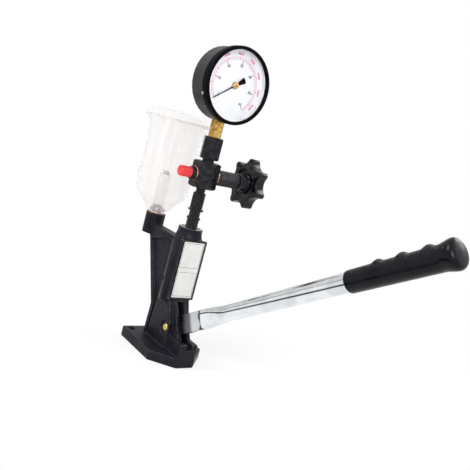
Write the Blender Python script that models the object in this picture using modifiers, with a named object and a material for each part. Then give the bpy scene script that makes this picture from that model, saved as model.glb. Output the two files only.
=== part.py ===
# Diesel injector tester: hand lever pump with reservoir, shut-off valve and pressure gauge.
# Metres, +Z up. The origin lies under the pump column on the underside of the base.
# The lever points to +X, the outlet to -Y, the star knob to +Y and the reservoir to -X.

import math

import bmesh
import bpy
from mathutils import Matrix, Vector

mm = 0.001
clearance = 0.3 * mm        # left between neighbouring pieces
overrun = 2.0 * mm          # how far a cutter passes the face that it cuts
seam_merge = 0.002 * mm     # corners closer than this along a cut are one corner
axis_merge = 0.01 * mm      # and on a turned piece's axis
curve_merge = 0.001 * mm    # and where a curve's caps meet its sides

# Base plate, seen from above a rectangle with its two front corners cut off
base_thickness = 13.5 * mm
base_back = 45.0 * mm
base_front = 64.5 * mm
base_half_width = 42.0 * mm
base_corner_cut = 29.0 * mm
base_corner_radius = 4.0 * mm
base_edge_bevel = 2.0 * mm
base_hole_radius = 4.5 * mm
base_hole_inset = 10.5 * mm

# Lever housing between base and column
block_margin = 0.2 * mm             # beside the block on the base's front edge
block_half_width = base_half_width - base_corner_cut - block_margin
block_height = 33.0 * mm
waist_half_width = 16.0 * mm
waist_back = 21.0 * mm
waist_front = 30.0 * mm
waist_shoulder_height = 48.0 * mm
waist_top_front = 17.0 * mm
waist_top_back = 13.0 * mm
cheek_half_width = 10.0 * mm
cheek_back = 8.0 * mm
cheek_foot_front = 50.0 * mm
cheek_top_front = 19.5 * mm
cheek_top = 77.0 * mm
slot_roof_drop = 1.0 * mm
slot_back = 8.0 * mm
slot_roof = cheek_top - slot_roof_drop

# Pump column
column_radius = 20.3 * mm
column_sunk = 6.0 * mm
column_length = 99.7 * mm           # above the cheeks
collar_radius = 16.7 * mm
collar_length = 5.7 * mm
shoulder_length = 15.0 * mm
column_bottom = cheek_top - column_sunk
column_top = cheek_top + column_length
collar_bottom = column_top - collar_length
column_shoulder = collar_bottom - shoulder_length
bore_radius = 12.3 * mm
bore_floor_rise = 2.9 * mm           # above the slot's floor
pad_front = 18.7 * mm
pad_thickness = 5.5 * mm
pad_half_width = 20.0 * mm
pad_rise = 1.6 * mm
pad_drop = 14.0 * mm
pad_bottom = cheek_top + pad_rise
pad_top = column_top - pad_drop

# Reservoir arm
arm_foot_reach = 41.5 * mm
arm_knee_reach = 40.0 * mm
arm_knee_height = 51.0 * mm
arm_head_length = 14.0 * mm
arm_rib_half_width = 8.0 * mm
arm_rib_thickness = 7.0 * mm
arm_web_half_thickness = 4.0 * mm
arm_top_rib_reach = 37.0 * mm        # beyond it the top rib grows deeper
arm_fork_drop = 20.0 * mm           # of the fork of the two ribs below the arm's top
boss_reach = 96.0 * mm
arm_head_inset = 8.0 * mm           # of the arm's end from the boss's axis
arm_head_reach = boss_reach - arm_head_inset
boss_radius = 14.6 * mm
boss_top = 172.2 * mm
boss_length = 31.2 * mm
boss_bottom = boss_top - boss_length
arm_top_drop = 15.2 * mm            # of the arm below the boss's top
arm_top = boss_top - arm_top_drop

# Label plate on the pad
label_half_width = 18.0 * mm
label_margin = 1.6 * mm
label_thickness = 0.6 * mm

# Lever and its pivot
pivot_reach = 18.5 * mm
pivot_height = 38.5 * mm
pin_radius = 5.0 * mm
pin_sunk = 1.6 * mm
pin_half_length = waist_half_width - pin_sunk
pin_chamfer = 0.8 * mm
recess_radius = 9.0 * mm
recess_depth = 3.8 * mm
ring_gap = 1.0 * mm
ring_radius = recess_radius - ring_gap
ring_thickness = 1.2 * mm
lever_rise = math.radians(31.85)       # of the handle above the bench, at rest
lever_swing = math.radians(30.0)       # from rest down to the end of the stroke
inner_arm = pivot_reach                # from the pivot to the nose under the tappet
nose_radius = 5.5 * mm
eye_radius = 10.0 * mm
blade_half_height = 12.2 * mm
blade_start_half_height = 13.0 * mm
blade_half_thickness = 3.0 * mm
blade_side_play = 1.5 * mm
blade_floor_play = 0.5 * mm
slot_half_width = blade_half_thickness + blade_side_play
slot_floor = pivot_height - blade_start_half_height - blade_floor_play
bore_floor = slot_floor + bore_floor_rise
blade_start = 24.0 * mm
tang_start = 72.0 * mm
tang_length = 28.0 * mm
tang_end = tang_start + tang_length
tang_half_height = 9.3 * mm
tang_end_half_height = 8.2 * mm
mouth_gap = 1.0 * mm                   # between the blade's shoulder and the tube's mouth
mouth_length = 43.0 * mm               # over which the tube turns round
tube_start = tang_start + mouth_gap
tube_round_start = tube_start + mouth_length
tube_end = 426.0 * mm
tube_radius = 10.3 * mm
tube_wall = 1.6 * mm
mouth_rise = 0.4 * mm                  # of the mouth past the blade's edges
mouth_half_height = blade_half_height + mouth_rise
mouth_half_width = 8.4 * mm
grip_length = 119.0 * mm
grip_end_wall = 4.0 * mm
grip_end = tube_end + grip_end_wall
grip_start = grip_end - grip_length
grip_radius = 11.8 * mm
grip_taper = 0.6 * mm
grip_edge = 0.8 * mm
grip_end_round = 2.6 * mm
grip_bump = 2.6 * mm
grip_bump_half_length = 6.5 * mm
grip_bump_first = 36.4 * mm
grip_bump_pitch = 27.0 * mm
grip_flange = 1.6 * mm
grip_flange_length = 9.0 * mm
grip_flange_slope = 7.0 * mm

# Pump works inside the column
foot_radius = 6.5 * mm
foot_height = 8.2 * mm
tappet_play = 0.4 * mm
tappet_radius = bore_radius - tappet_play
tappet_guide_height = 10.0 * mm
plunger_radius = 3.5 * mm
plunger_foot_radius = 5.5 * mm
plunger_foot_height = 2.0 * mm
plunger_drop = 20.0 * mm               # of its top below the barrel's, at rest
seat_play = 0.7 * mm
seat_radius = bore_radius - seat_play
seat_thickness = 2.5 * mm
spring_length = 25.6 * mm
spring_wire_radius = 1.1 * mm
spring_radius = 8.8 * mm
spring_turns = 6
barrel_radius = bore_radius - clearance
barrel_sunk = 18.7 * mm
barrel_top = column_top - barrel_sunk
chamber_radius = plunger_radius + clearance
valve_seat_height = 5.7 * mm
valve_stem_radius = 2.0 * mm
valve_stem_play = 0.4 * mm
valve_seat_bore = valve_stem_radius + valve_stem_play
valve_head_radius = 3.9 * mm
valve_head_height = 3.2 * mm
valve_spigot_radius = 1.8 * mm
valve_spigot_height = 2.5 * mm
valve_spring_length = 9.7 * mm
valve_spring_wire_radius = 0.45 * mm
valve_spring_radius = 2.8 * mm
valve_spring_turns = 5
grub_rise = 23.0 * mm
grub_height = cheek_top + grub_rise
grub_radius = 2.9 * mm
grub_sunk = 1.8 * mm
grub_socket_radius = 1.4 * mm
grub_socket_depth = 2.2 * mm
grub_azimuth = math.radians(-25.0)     # from -Y towards -X

# Delivery holder between column and valve block
valve_head_play = 0.7 * mm
holder_cavity_radius = valve_head_radius + valve_head_play
holder_passage_radius = 1.6 * mm
holder_neck_radius = 8.3 * mm
holder_waist_radius = 7.6 * mm
lower_flange_radius = 9.4 * mm
neck_length = 11.9 * mm
lower_flange_thickness = 3.0 * mm
waist_length = 9.0 * mm
upper_flange_radius = 10.6 * mm
upper_flange_thickness = 2.8 * mm
lower_flange_bottom = column_top + neck_length
lower_flange_top = lower_flange_bottom + lower_flange_thickness
upper_flange_bottom = lower_flange_top + waist_length
upper_flange_top = upper_flange_bottom + upper_flange_thickness
holder_stem_radius = 6.3 * mm
holder_stem_depth = 10.5 * mm
union_nut_flats = 16.5 * mm
union_nut_gap = 0.6 * mm
union_nut_length = 21.4 * mm
union_nut_bottom = upper_flange_top + union_nut_gap
union_nut_top = union_nut_bottom + union_nut_length
nut_chamfer = 1.2 * mm

# Valve block and what screws into it
hex_flats = 33.0 * mm
hex_gap = 7.1 * mm                     # bare stem between the union nut and the block
hex_length = 35.9 * mm
hex_bottom = union_nut_top + hex_gap
hex_top = hex_bottom + hex_length
hex_chamfer = 2.2 * mm
hex_neck_radius = 8.0 * mm
hex_neck_length = 14.6 * mm
hex_neck_top = hex_top + hex_neck_length
valve_rise = 17.8 * mm                 # of the cross passage above the block's underside
valve_height = hex_bottom + valve_rise
passage_radius = 1.8 * mm
port_depth = 8.5 * mm
outlet_port_radius = 5.6 * mm
bonnet_port_radius = 7.6 * mm
washer_thickness = 1.2 * mm
outlet_washer_radius = 9.3 * mm
bonnet_washer_radius = 10.6 * mm
adaptor_flange_radius = 8.8 * mm
adaptor_flange_end = 24.0 * mm
adaptor_thread_radius = 6.0 * mm
adaptor_end = 35.5 * mm
plug_radius = 7.5 * mm
plug_end = 40.5 * mm
plug_chamfer = 1.0 * mm
bonnet_flats = 20.5 * mm
bonnet_end = 54.0 * mm
packing_radius = 6.3 * mm
packing_length = 3.6 * mm
spindle_radius = 4.0 * mm
needle_radius = 2.6 * mm
needle_tip = 2.5 * mm
needle_cone = 2.2 * mm
needle_end = 9.6 * mm
needle_tip_radius = 0.8 * mm

# Star knob
knob_hub_radius = 11.8 * mm
knob_hub_start = 55.0 * mm
knob_rim_start = 68.5 * mm
knob_rim_end = 83.5 * mm
knob_tip_radius = 35.8 * mm
knob_valley_radius = 27.5 * mm         # to the bottom of the hollows between the lobes
knob_tip_half_width = 3.4 * mm
knob_lobes = 7
knob_rest_turn = math.radians(6.7)     # of one lobe past -X, as the knob stands at rest
knob_edge_bevel = 1.6 * mm
knob_groove_inner = 13.5 * mm
knob_groove_outer = 20.5 * mm
knob_groove_depth = 5.0 * mm
knob_front_recess_radius = 8.5 * mm
knob_front_recess_depth = 3.4 * mm
knob_nut_flats = 10.0 * mm
knob_nut_height = 4.0 * mm
spindle_end_radius = 2.5 * mm

# Gauge, turned about an axis along X
gauge_nut_flats = 24.5 * mm
gauge_nut_gap = 3.6 * mm
gauge_nut_length = 30.0 * mm
case_radius = 48.5 * mm
case_rise = 22.2 * mm                  # of the case above the union nut
gauge_nut_bottom = hex_top + gauge_nut_gap
gauge_nut_top = gauge_nut_bottom + gauge_nut_length
gauge_height = gauge_nut_top + case_rise + case_radius
seal_thickness = 1.4 * mm
seal_bore = 2.5 * mm
stem_spigot_radius = hex_neck_radius
stem_half_square = 6.25 * mm
stem_drop = 23.7 * mm                  # of the stem's top below the gauge's axis
stem_top = gauge_height - stem_drop
stem_bore_margin = 5.0 * mm
case_wall = 1.5 * mm
case_back = -12.0 * mm
case_front = 20.0 * mm
case_edge = 1.0 * mm
bezel_step = 1.5 * mm
bezel_radius = case_radius + bezel_step
bezel_lip_width = 4.5 * mm
bezel_lip_radius = bezel_radius - bezel_lip_width
bezel_skirt = 5.0 * mm                 # over the case
bezel_back = case_front - bezel_skirt
glass_margin = 0.2 * mm
glass_radius = case_radius - glass_margin
glass_thickness = 1.7 * mm
bezel_lip_back = case_front + glass_thickness + 2 * clearance
bezel_lip = 3.7 * mm
bezel_front = bezel_lip_back + bezel_lip
bezel_edge = 1.5 * mm
dial_margin = 0.6 * mm
dial_radius = case_radius - case_wall - dial_margin
dial_drop = 6.0 * mm                   # of the dial's back below the case's front edge
dial_back = case_front - dial_drop
dial_thickness = 0.8 * mm
dial_bore = 2.6 * mm
dial_front = dial_back + dial_thickness
dial_turn = math.radians(7.5)          # clockwise, as the dial sits in the case
spacer_width = 1.0 * mm
pointer_gap = 1.8 * mm
pointer_back = dial_front + pointer_gap
pointer_thickness = 0.8 * mm
pointer_margin = 9.4 * mm              # from its tip to the dial's edge
pointer_tip = dial_radius - pointer_margin
pointer_root_half_width = 1.9 * mm
pointer_tip_half_width = 0.4 * mm
pointer_tail = 16.0 * mm
pointer_tail_half_width = 4.2 * mm
pointer_waist = 5.0 * mm
boss_sleeve_radius = 2.0 * mm
boss_cap_radius = 4.2 * mm
boss_sleeve_gap = 0.4 * mm
boss_sleeve_start = dial_front + boss_sleeve_gap
boss_cap_thickness = 1.6 * mm
boss_cap_end = pointer_back + pointer_thickness + clearance + boss_cap_thickness
frame_back = -3.0 * mm
frame_plate = 2.0 * mm
frame_gap = 2.3 * mm                   # between the movement and the dial
frame_front = dial_back - frame_gap
frame_half_width = 12.0 * mm
frame_rise = 19.3 * mm
frame_top = gauge_height + frame_rise
post_radius = 1.6 * mm
post_inset = 2.6 * mm
pinion_radius = 1.6 * mm
pinion_start = 1.5 * mm
pinion_end = 4.5 * mm
pivot_spindle_radius = 1.0 * mm
spindle_tip = boss_cap_end - clearance
movement_ratio = 9                     # turns of the pointer per turn of the sector gear
sector_radius = movement_ratio * pinion_radius
sector_hub_radius = 3.2 * mm
sector_back = 2.0 * mm
sector_thickness = 2.0 * mm
sector_shaft_radius = 1.2 * mm
pointer_swing = math.radians(270.0)
sector_swing = pointer_swing / movement_ratio
sector_half_span = math.radians(24.0)
bourdon_radius = 33.0 * mm
bourdon_tube_radius = 3.0 * mm
bourdon_offset = -1.0 * mm
bourdon_start = math.radians(-76.0)
bourdon_sweep = math.radians(262.0)
screw_head_radius = 3.2 * mm
screw_head_height = 1.8 * mm
screw_shank_radius = 1.5 * mm
# Places of the two case screws: shares of the way from the stem's top to the case's lower edge
case_screw_shares = (0.746, 0.302)
case_screw_drops = tuple(stem_drop + share * (case_radius - stem_drop) for share in case_screw_shares)
bezel_screw_radius = 2.0 * mm
bezel_screw_height = 1.0 * mm
bezel_shank_radius = 1.0 * mm
bezel_screw_reach = (bezel_back + case_front) / 2
bezel_screw_angles = tuple(math.radians(a) for a in (204.0, 324.0, 84.0))

# Reservoir on the boss
tank_washer_thickness = 1.2 * mm
tank_bolt_radius = 6.7 * mm
tank_bolt_depth = 14.0 * mm
tank_bolt_flange = 3.2 * mm
tank_bolt_bore = 3.0 * mm
tank_spigot_height = 4.0 * mm
strainer_radius = 8.5 * mm
strainer_wall = 1.5 * mm
strainer_height = 59.8 * mm
strainer_hole_radius = 4.0 * mm
strainer_cap_radius = 5.2 * mm
strainer_cap_height = 4.0 * mm
cup_floor = 2.5 * mm
cup_wall = 2.0 * mm
cup_height = 141.0 * mm
cup_rim_radius = 44.8 * mm
cup_foot_share = 0.290                 # of the rim's radius
cup_floor_share = 0.3125
cup_foot_radius = cup_rim_radius * cup_foot_share
cup_floor_radius = cup_rim_radius * cup_floor_share
bolt_flange_margin = 2.5 * mm
tank_bolt_flange_radius = cup_floor_radius - bolt_flange_margin
lid_height = 12.0 * mm
lid_plate = 7.8 * mm
lid_skirt_gap = 0.6 * mm
lid_wall = 1.6 * mm
lid_radius = cup_rim_radius + lid_skirt_gap + lid_wall
lid_edge = 1.4 * mm
lid_dome = 3.2 * mm
# Outside of the cup from foot to rim: share of its height and share of its rim radius
cup_outline_shares = (
    (0.000, cup_foot_share), (0.037, 0.388), (0.106, 0.569), (0.163, 0.728), (0.217, 0.830), (0.260, 0.877),
    (0.353, 0.895), (0.418, 0.882), (0.476, 0.866), (0.576, 0.848), (0.684, 0.862), (0.777, 0.875),
    (0.885, 0.915), (0.950, 0.971), (1.000, 1.000),
)

screw_steps = 12
hidden_steps = 16
small_steps = 20
large_steps = 40
cup_steps = 32
lid_dome_steps = 4

to_outlet = (math.pi / 2, 0, 0)          # turns a piece's +Z to -Y
to_knob = (-math.pi / 2, 0, 0)           # turns a piece's +Z to +Y
to_front = (0, math.pi / 2, 0)           # turns a piece's +Z to +X
to_back = (0, -math.pi / 2, 0)           # turns a piece's +Z to -X


def start_scene():
    for old in list(bpy.data.objects):
        bpy.data.objects.remove(old, do_unlink=True)
    for name in ("diesel_injector_tester", "cutters"):
        group = bpy.data.collections.new(name)
        bpy.context.scene.collection.children.link(group)
        groups[name] = group


def make_finish(name, colour, roughness, metallic):
    finish = bpy.data.materials.new(name)
    finish.use_nodes = True
    shader = finish.node_tree.nodes["Principled BSDF"]
    shader.inputs["Base Color"].default_value = (*colour, 1)
    shader.inputs["Roughness"].default_value = roughness
    shader.inputs["Metallic"].default_value = metallic
    finishes[name] = finish


def make_finishes():
    make_finish("black_enamel", (0.025, 0.025, 0.028), 0.45, 0)
    make_finish("black_steel", (0.03, 0.03, 0.032), 0.35, 0.6)
    make_finish("bright_zinc", (0.75, 0.76, 0.78), 0.25, 1)
    make_finish("yellow_zinc", (0.75, 0.62, 0.2), 0.3, 1)
    make_finish("plain_steel", (0.55, 0.55, 0.56), 0.3, 1)
    make_finish("brass", (0.75, 0.55, 0.22), 0.3, 1)
    make_finish("copper", (0.8, 0.45, 0.35), 0.4, 1)
    make_finish("black_rubber", (0.02, 0.02, 0.022), 0.5, 0)
    make_finish("black_plastic", (0.012, 0.012, 0.013), 0.2, 0)
    make_finish("red_plastic", (0.75, 0.04, 0.04), 0.4, 0)
    make_finish("clear_plastic", (0.88, 0.85, 0.82), 0.15, 0)
    make_finish("gauge_glass", (0.9, 0.92, 0.92), 0.05, 0)
    make_finish("white_enamel", (0.85, 0.85, 0.85), 0.35, 0)
    make_finish("fibre_packing", (0.7, 0.68, 0.62), 0.8, 0)
    make_finish("white_nylon", (0.85, 0.83, 0.8), 0.45, 0)


def add_object(name, data, finish=None, place=(0, 0, 0), turn=(0, 0, 0)):
    piece = bpy.data.objects.new(name, data)
    groups["diesel_injector_tester"].objects.link(piece)
    piece.location = place
    piece.rotation_euler = turn
    if finish:
        data.materials.append(finishes[finish])
    return piece


def make_tool(piece):
    """Turns a piece into a hidden helper for a Boolean."""
    groups["diesel_injector_tester"].objects.unlink(piece)
    groups["cutters"].objects.link(piece)
    piece.hide_render = True
    piece.display_type = "WIRE"
    return piece


def combine(target, tool, operation):
    modifier = target.modifiers.new(tool.name, "BOOLEAN")
    modifier.object = make_tool(tool)
    modifier.operation = operation
    modifier.solver = "EXACT"
    seam = target.modifiers.new("seam", "WELD")
    seam.merge_threshold = seam_merge


def cut(target, *tools):
    for tool in tools:
        combine(target, tool, "DIFFERENCE")


def join(target, *tools):
    for tool in tools:
        combine(target, tool, "UNION")


def turned(name, profile, finish=None, steps=small_steps, place=(0, 0, 0), turn=(0, 0, 0)):
    """A turned shape. The profile of (radius, height) runs down its outer side."""
    mesh = bpy.data.meshes.new(name)
    edges = [(i, i + 1) for i in range(len(profile) - 1)]
    if profile[0][0] > 0:
        edges.append((len(profile) - 1, 0))
    mesh.from_pydata([(radius, 0, height) for radius, height in profile], edges, [])
    piece = add_object(name, mesh, finish, place, turn)
    screw = piece.modifiers.new("turn", "SCREW")
    screw.axis = "Z"
    screw.steps = screw.render_steps = steps
    screw.use_merge_vertices = True
    screw.merge_threshold = axis_merge
    screw.use_smooth_shade = True
    return piece


def rod(name, radius, low, high, finish=None, steps=small_steps, place=(0, 0, 0), turn=(0, 0, 0)):
    profile = [(0, high), (radius, high), (radius, low), (0, low)]
    return turned(name, profile, finish, steps, place, turn)


def ring(name, bore, radius, low, high, finish=None, steps=small_steps, place=(0, 0, 0), turn=(0, 0, 0)):
    profile = [(radius, high), (radius, low), (bore, low), (bore, high)]
    return turned(name, profile, finish, steps, place, turn)


def box(name, low, high, finish=None):
    low, high = Vector(low), Vector(high)
    size = high - low
    shape = bmesh.new()
    matrix = Matrix.Translation((low + high) / 2) @ Matrix.Diagonal((*size, 1))
    bmesh.ops.create_cube(shape, size=1, matrix=matrix)
    mesh = bpy.data.meshes.new(name)
    shape.to_mesh(mesh)
    shape.free()
    return add_object(name, mesh, finish)


def mesh_from_curve(piece, finish):
    """Makes a curve piece a mesh, with its loose caps welded on."""
    bpy.context.view_layer.update()
    graph = bpy.context.evaluated_depsgraph_get()
    mesh = bpy.data.meshes.new_from_object(piece.evaluated_get(graph))
    shape = bmesh.new()
    shape.from_mesh(mesh)
    bmesh.ops.remove_doubles(shape, verts=shape.verts, dist=curve_merge)
    shape.transform(piece.matrix_world)
    bmesh.ops.recalc_face_normals(shape, faces=shape.faces)
    shape.to_mesh(mesh)
    shape.free()
    mesh.materials.clear()
    name = piece.name
    bpy.data.objects.remove(piece, do_unlink=True)
    return add_object(name, mesh, finish)


def plate(name, outline, half_thickness, turn=(0, 0, 0), middle=0, finish=None, bevel=0):
    """An outline of (x, y) points with a thickness. middle is the height of its mid-plane."""
    curve = bpy.data.curves.new(name, "CURVE")
    curve.dimensions = "2D"
    curve.fill_mode = "BOTH"
    curve.extrude = half_thickness - bevel
    curve.bevel_depth = bevel
    curve.bevel_resolution = 0
    curve.offset = -bevel
    spline = curve.splines.new("POLY")
    spline.points.add(len(outline) - 1)
    for point, (x, y) in zip(spline.points, outline):
        point.co = (x, y, 0, 1)
    spline.use_cyclic_u = True
    piece = add_object(name, curve, None, (0, 0, 0), turn)
    bpy.context.view_layer.update()
    piece.location = piece.matrix_world.to_3x3() @ Vector((0, 0, middle))
    return mesh_from_curve(piece, finish)


def side_plate(name, outline, half_thickness, finish=None):
    """A plate that stands in the XZ plane, from (x, z) points."""
    return plate(name, outline, half_thickness, (math.pi / 2, 0, 0), 0, finish)


def arc(centre, radius, start, end, count):
    points = []
    for i in range(count):
        angle = start + (end - start) * i / (count - 1)
        points.append((centre[0] + radius * math.cos(angle), centre[1] + radius * math.sin(angle)))
    return points


def hex_bar(name, flats, low, high, chamfer, finish, place=(0, 0, 0), turn=(0, 0, 0), corner_angle=0):
    """A hexagonal bar with chamfers turned on both ends. A corner lies at corner_angle from +X."""
    corner = flats / math.sqrt(3)
    shape = bmesh.new()
    middle = Matrix.Translation((0, 0, (low + high) / 2))
    spin = Matrix.Rotation(corner_angle - math.pi / 2, 4, "Z")
    bmesh.ops.create_cone(shape, cap_ends=True, segments=6, radius1=corner, radius2=corner,
                          depth=high - low, matrix=middle @ spin)
    mesh = bpy.data.meshes.new(name)
    shape.to_mesh(mesh)
    shape.free()
    piece = add_object(name, mesh, finish, place, turn)
    inner = flats / 2 - chamfer / 4
    outer = corner + clearance
    drop = (outer - inner) / 2
    profile = [(0, high + overrun), (inner - 2 * overrun, high + overrun), (outer, high - drop),
               (outer, low + drop), (inner - 2 * overrun, low - overrun), (0, low - overrun)]
    combine(piece, turned(name + "_ends", profile, None, small_steps, place, turn), "INTERSECT")
    return piece


def coil(name, radius, wire, turns, low, high, finish):
    """A spring wire from low to high as one unbroken tube. Prints its least gap to itself."""
    points_per_turn = 9
    count = turns * points_per_turn + 1
    rise = high - low - 2 * wire
    curve = bpy.data.curves.new(name, "CURVE")
    curve.dimensions = "3D"
    curve.bevel_depth = wire
    curve.bevel_resolution = 1
    curve.use_fill_caps = True
    spline = curve.splines.new("POLY")
    spline.points.add(count - 1)
    for i, point in enumerate(spline.points):
        angle = 2 * math.pi * i / points_per_turn
        height = low + wire + rise * i / (count - 1)
        point.co = (radius * math.cos(angle), radius * math.sin(angle), height, 1)
    print(name, "least gap between turns", round((rise / turns - 2 * wire) / mm, 2), "mm")
    return mesh_from_curve(add_object(name, curve), finish)


def make_base():
    radius = base_corner_radius
    back, front, side, notch = base_back, base_front, base_half_width, base_corner_cut
    outline = [(front, -side + notch), (front, side - notch), (front - notch, side)]
    outline += arc((radius - back, side - radius), radius, math.pi / 2, math.pi, 4)
    outline += arc((radius - back, radius - side), radius, math.pi, 3 * math.pi / 2, 4)
    outline += [(front - notch, -side)]
    casting = plate("body_casting", outline, base_thickness / 2, (0, 0, 0), base_thickness / 2, "black_enamel")
    bevel = casting.modifiers.new("edges", "BEVEL")
    bevel.width = base_edge_bevel
    bevel.segments = 1
    bevel.limit_method = "ANGLE"
    bevel.angle_limit = math.radians(50)
    return casting


def housing_shapes():
    sunk = base_thickness / 2
    yield box("housing_block", (0, -block_half_width, sunk), (base_front, block_half_width, block_height))
    waist = [(-waist_back, sunk), (waist_front, sunk), (waist_front, waist_shoulder_height),
             (waist_top_front, cheek_top), (-waist_top_back, cheek_top)]
    yield side_plate("housing_waist", waist, waist_half_width)
    cheek = [(cheek_back, sunk), (cheek_foot_front, sunk), (cheek_foot_front, block_height),
             (cheek_top_front, cheek_top), (cheek_back, cheek_top)]
    yield side_plate("housing_cheeks", cheek, cheek_half_width)


def column_shapes():
    profile = [(0, column_top), (collar_radius, column_top), (collar_radius, collar_bottom),
               (column_radius, column_shoulder), (column_radius, column_bottom), (0, column_bottom)]
    yield turned("column_barrel", profile, None, large_steps)
    yield box("label_pad", (pad_front - pad_thickness, -pad_half_width, pad_bottom),
              (pad_front, pad_half_width, pad_top))
    yield box("pad_core", (0, -collar_radius, pad_bottom), (pad_front - pad_thickness / 2, collar_radius, pad_top))


def arm_shapes():
    foot, knee, head = arm_foot_reach, arm_knee_reach, arm_head_reach
    thick, sunk = arm_rib_thickness, base_thickness / 2
    head_height = arm_top - arm_head_length
    fork_height = arm_top - arm_fork_drop
    lean = (head - knee) / (head_height - arm_knee_height)
    fork = knee + lean * (fork_height - arm_knee_height) - thick
    web = [(-foot, sunk), (-knee, arm_knee_height), (-head, head_height), (-head, arm_top),
           (0, arm_top), (0, sunk)]
    yield side_plate("arm_web", web, arm_web_half_thickness)
    ribs = [(-foot, sunk), (-knee, arm_knee_height), (-head, head_height), (-head, arm_top),
            (0, arm_top), (0, arm_top - thick), (-arm_top_rib_reach, arm_top - thick),
            (-fork, fork_height), (thick - knee, arm_knee_height), (thick - foot, sunk)]
    yield side_plate("arm_ribs", ribs, arm_rib_half_width)
    yield rod("reservoir_boss", boss_radius, boss_bottom, boss_top, None, 32, (-boss_reach, 0, 0))


def casting_cutters():
    top = column_top + overrun
    yield rod("main_bore", bore_radius, bore_floor, top, None, 32)
    side = column_radius + overrun
    yield box("pad_face", (pad_front, -side, cheek_top), (base_front, side, column_top))
    yield box("lever_slot", (slot_back, -slot_half_width, slot_floor),
              (base_front + overrun, slot_half_width, slot_roof))
    reach = waist_half_width + overrun
    floor = waist_half_width - recess_depth
    hole = pin_radius + clearance
    profile = [(0, reach), (recess_radius, reach), (recess_radius, floor), (hole, floor),
               (hole, -floor), (recess_radius, -floor), (recess_radius, -reach), (0, -reach)]
    yield turned("pin_hole", profile, None, small_steps, (pivot_reach, 0, pivot_height), to_outlet)
    yield rod("grub_hole", grub_radius + clearance, bore_radius / 2, column_radius + overrun, None,
              hidden_steps, (0, 0, grub_height), (math.pi / 2, 0, grub_azimuth))
    yield rod("tank_bolt_hole", tank_bolt_radius + clearance, boss_top - tank_bolt_depth - clearance,
              boss_top + overrun, None, hidden_steps, (-boss_reach, 0, 0))
    for side in (-1, 1):
        place = (base_hole_inset - base_back, side * (base_half_width - base_hole_inset), 0)
        yield rod("base_hole", base_hole_radius, -overrun, base_thickness + overrun, None, hidden_steps, place)


def make_body_casting():
    casting = make_base()
    join(casting, *housing_shapes(), *column_shapes(), *arm_shapes())
    cut(casting, *casting_cutters())


def make_label_plate():
    start = pad_front + clearance
    box("label_plate", (start, -label_half_width, pad_bottom + label_margin),
        (start + label_thickness, label_half_width, pad_top - label_margin), "white_enamel")


def make_pivot():
    place = (pivot_reach, 0, pivot_height)
    half, edge = pin_half_length, pin_radius - pin_chamfer
    profile = [(0, half), (edge, half), (pin_radius, half - pin_chamfer), (pin_radius, pin_chamfer - half),
               (edge, -half), (0, -half)]
    turned("pivot_pin", profile, "yellow_zinc", small_steps, place, to_outlet)
    floor = waist_half_width - recess_depth + clearance
    for name, turn in (("retaining_ring_outlet_side", to_outlet), ("retaining_ring_knob_side", to_knob)):
        ring(name, pin_radius + clearance, ring_radius, floor, floor + ring_thickness, "plain_steel",
             small_steps, place, turn)


def make_lever_frame():
    """An empty on the pivot axis. Its local X runs up along the handle."""
    frame = bpy.data.objects.new("lever_frame", None)
    groups["diesel_injector_tester"].objects.link(frame)
    frame.location = (pivot_reach, 0, pivot_height)
    frame.rotation_euler = (0, -lever_rise, 0)
    return frame


def blade_outline():
    """Points about the pivot with the handle along +X. The nose has a level top at rest."""
    nose_angle = math.pi + lever_swing / 2 - lever_rise
    nose = (inner_arm * math.cos(nose_angle), inner_arm * math.sin(nose_angle))
    nose_rise = nose_radius - inner_arm * math.sin(lever_swing / 2)
    upright = math.pi / 2 - lever_rise
    shoulder = math.pi - math.asin(nose_rise / eye_radius) - lever_rise
    underside = nose_angle + math.acos((eye_radius - nose_radius) / inner_arm)
    outline = [(tang_end, tang_end_half_height), (tang_start, tang_half_height),
               (tang_start, blade_half_height), (blade_start, blade_start_half_height)]
    outline += arc((0, 0), eye_radius, math.radians(100), shoulder, 5)
    outline += arc(nose, nose_radius, upright, underside, 9)
    outline += arc((0, 0), eye_radius, underside, math.radians(285), 5)
    outline += [(blade_start, -blade_start_half_height), (tang_start, -blade_half_height),
                (tang_start, -tang_half_height), (tang_end, -tang_end_half_height)]
    return outline


def loft_along_x(name, outer, inner, sides, finish, blind=False):
    """A hollow handle from rings of (x, half_width, half_height, bump on top)."""
    shape = bmesh.new()

    def add_ring(x, half_width, half_height, bump):
        points = []
        for i in range(sides):
            angle = 2 * math.pi * i / sides
            up = math.sin(angle)
            height = half_height * up + bump * max(0, up) ** 2
            points.append(shape.verts.new((x, half_width * math.cos(angle), height)))
        return points

    def skin(first, second):
        for i in range(sides):
            j = (i + 1) % sides
            shape.faces.new((first[i], first[j], second[j], second[i]))

    outer_rings = [add_ring(*entry) for entry in outer]
    inner_rings = [add_ring(*entry) for entry in inner]
    for rings in (outer_rings, inner_rings):
        for first, second in zip(rings, rings[1:]):
            skin(first, second)
    skin(outer_rings[0], inner_rings[0])
    if blind:
        shape.faces.new(outer_rings[-1])
        shape.faces.new(inner_rings[-1])
    else:
        skin(outer_rings[-1], inner_rings[-1])
    bmesh.ops.recalc_face_normals(shape, faces=shape.faces)
    mesh = bpy.data.meshes.new(name)
    shape.to_mesh(mesh)
    shape.free()
    mesh.shade_smooth()
    mesh.set_sharp_from_angle(angle=math.radians(40))
    return add_object(name, mesh, finish)


def tube_rings(shrink):
    rings = []
    steps = 5
    for i in range(steps + 1):
        share = i / steps
        ease = share * share * (3 - 2 * share)
        x = tube_start + (tube_round_start - tube_start) * share
        half_width = mouth_half_width + (tube_radius - mouth_half_width) * ease
        half_height = mouth_half_height + (tube_radius - mouth_half_height) * ease
        rings.append((x, half_width - shrink, half_height - shrink, 0))
    rings.append((tube_end, tube_radius - shrink, tube_radius - shrink, 0))
    return rings


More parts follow.
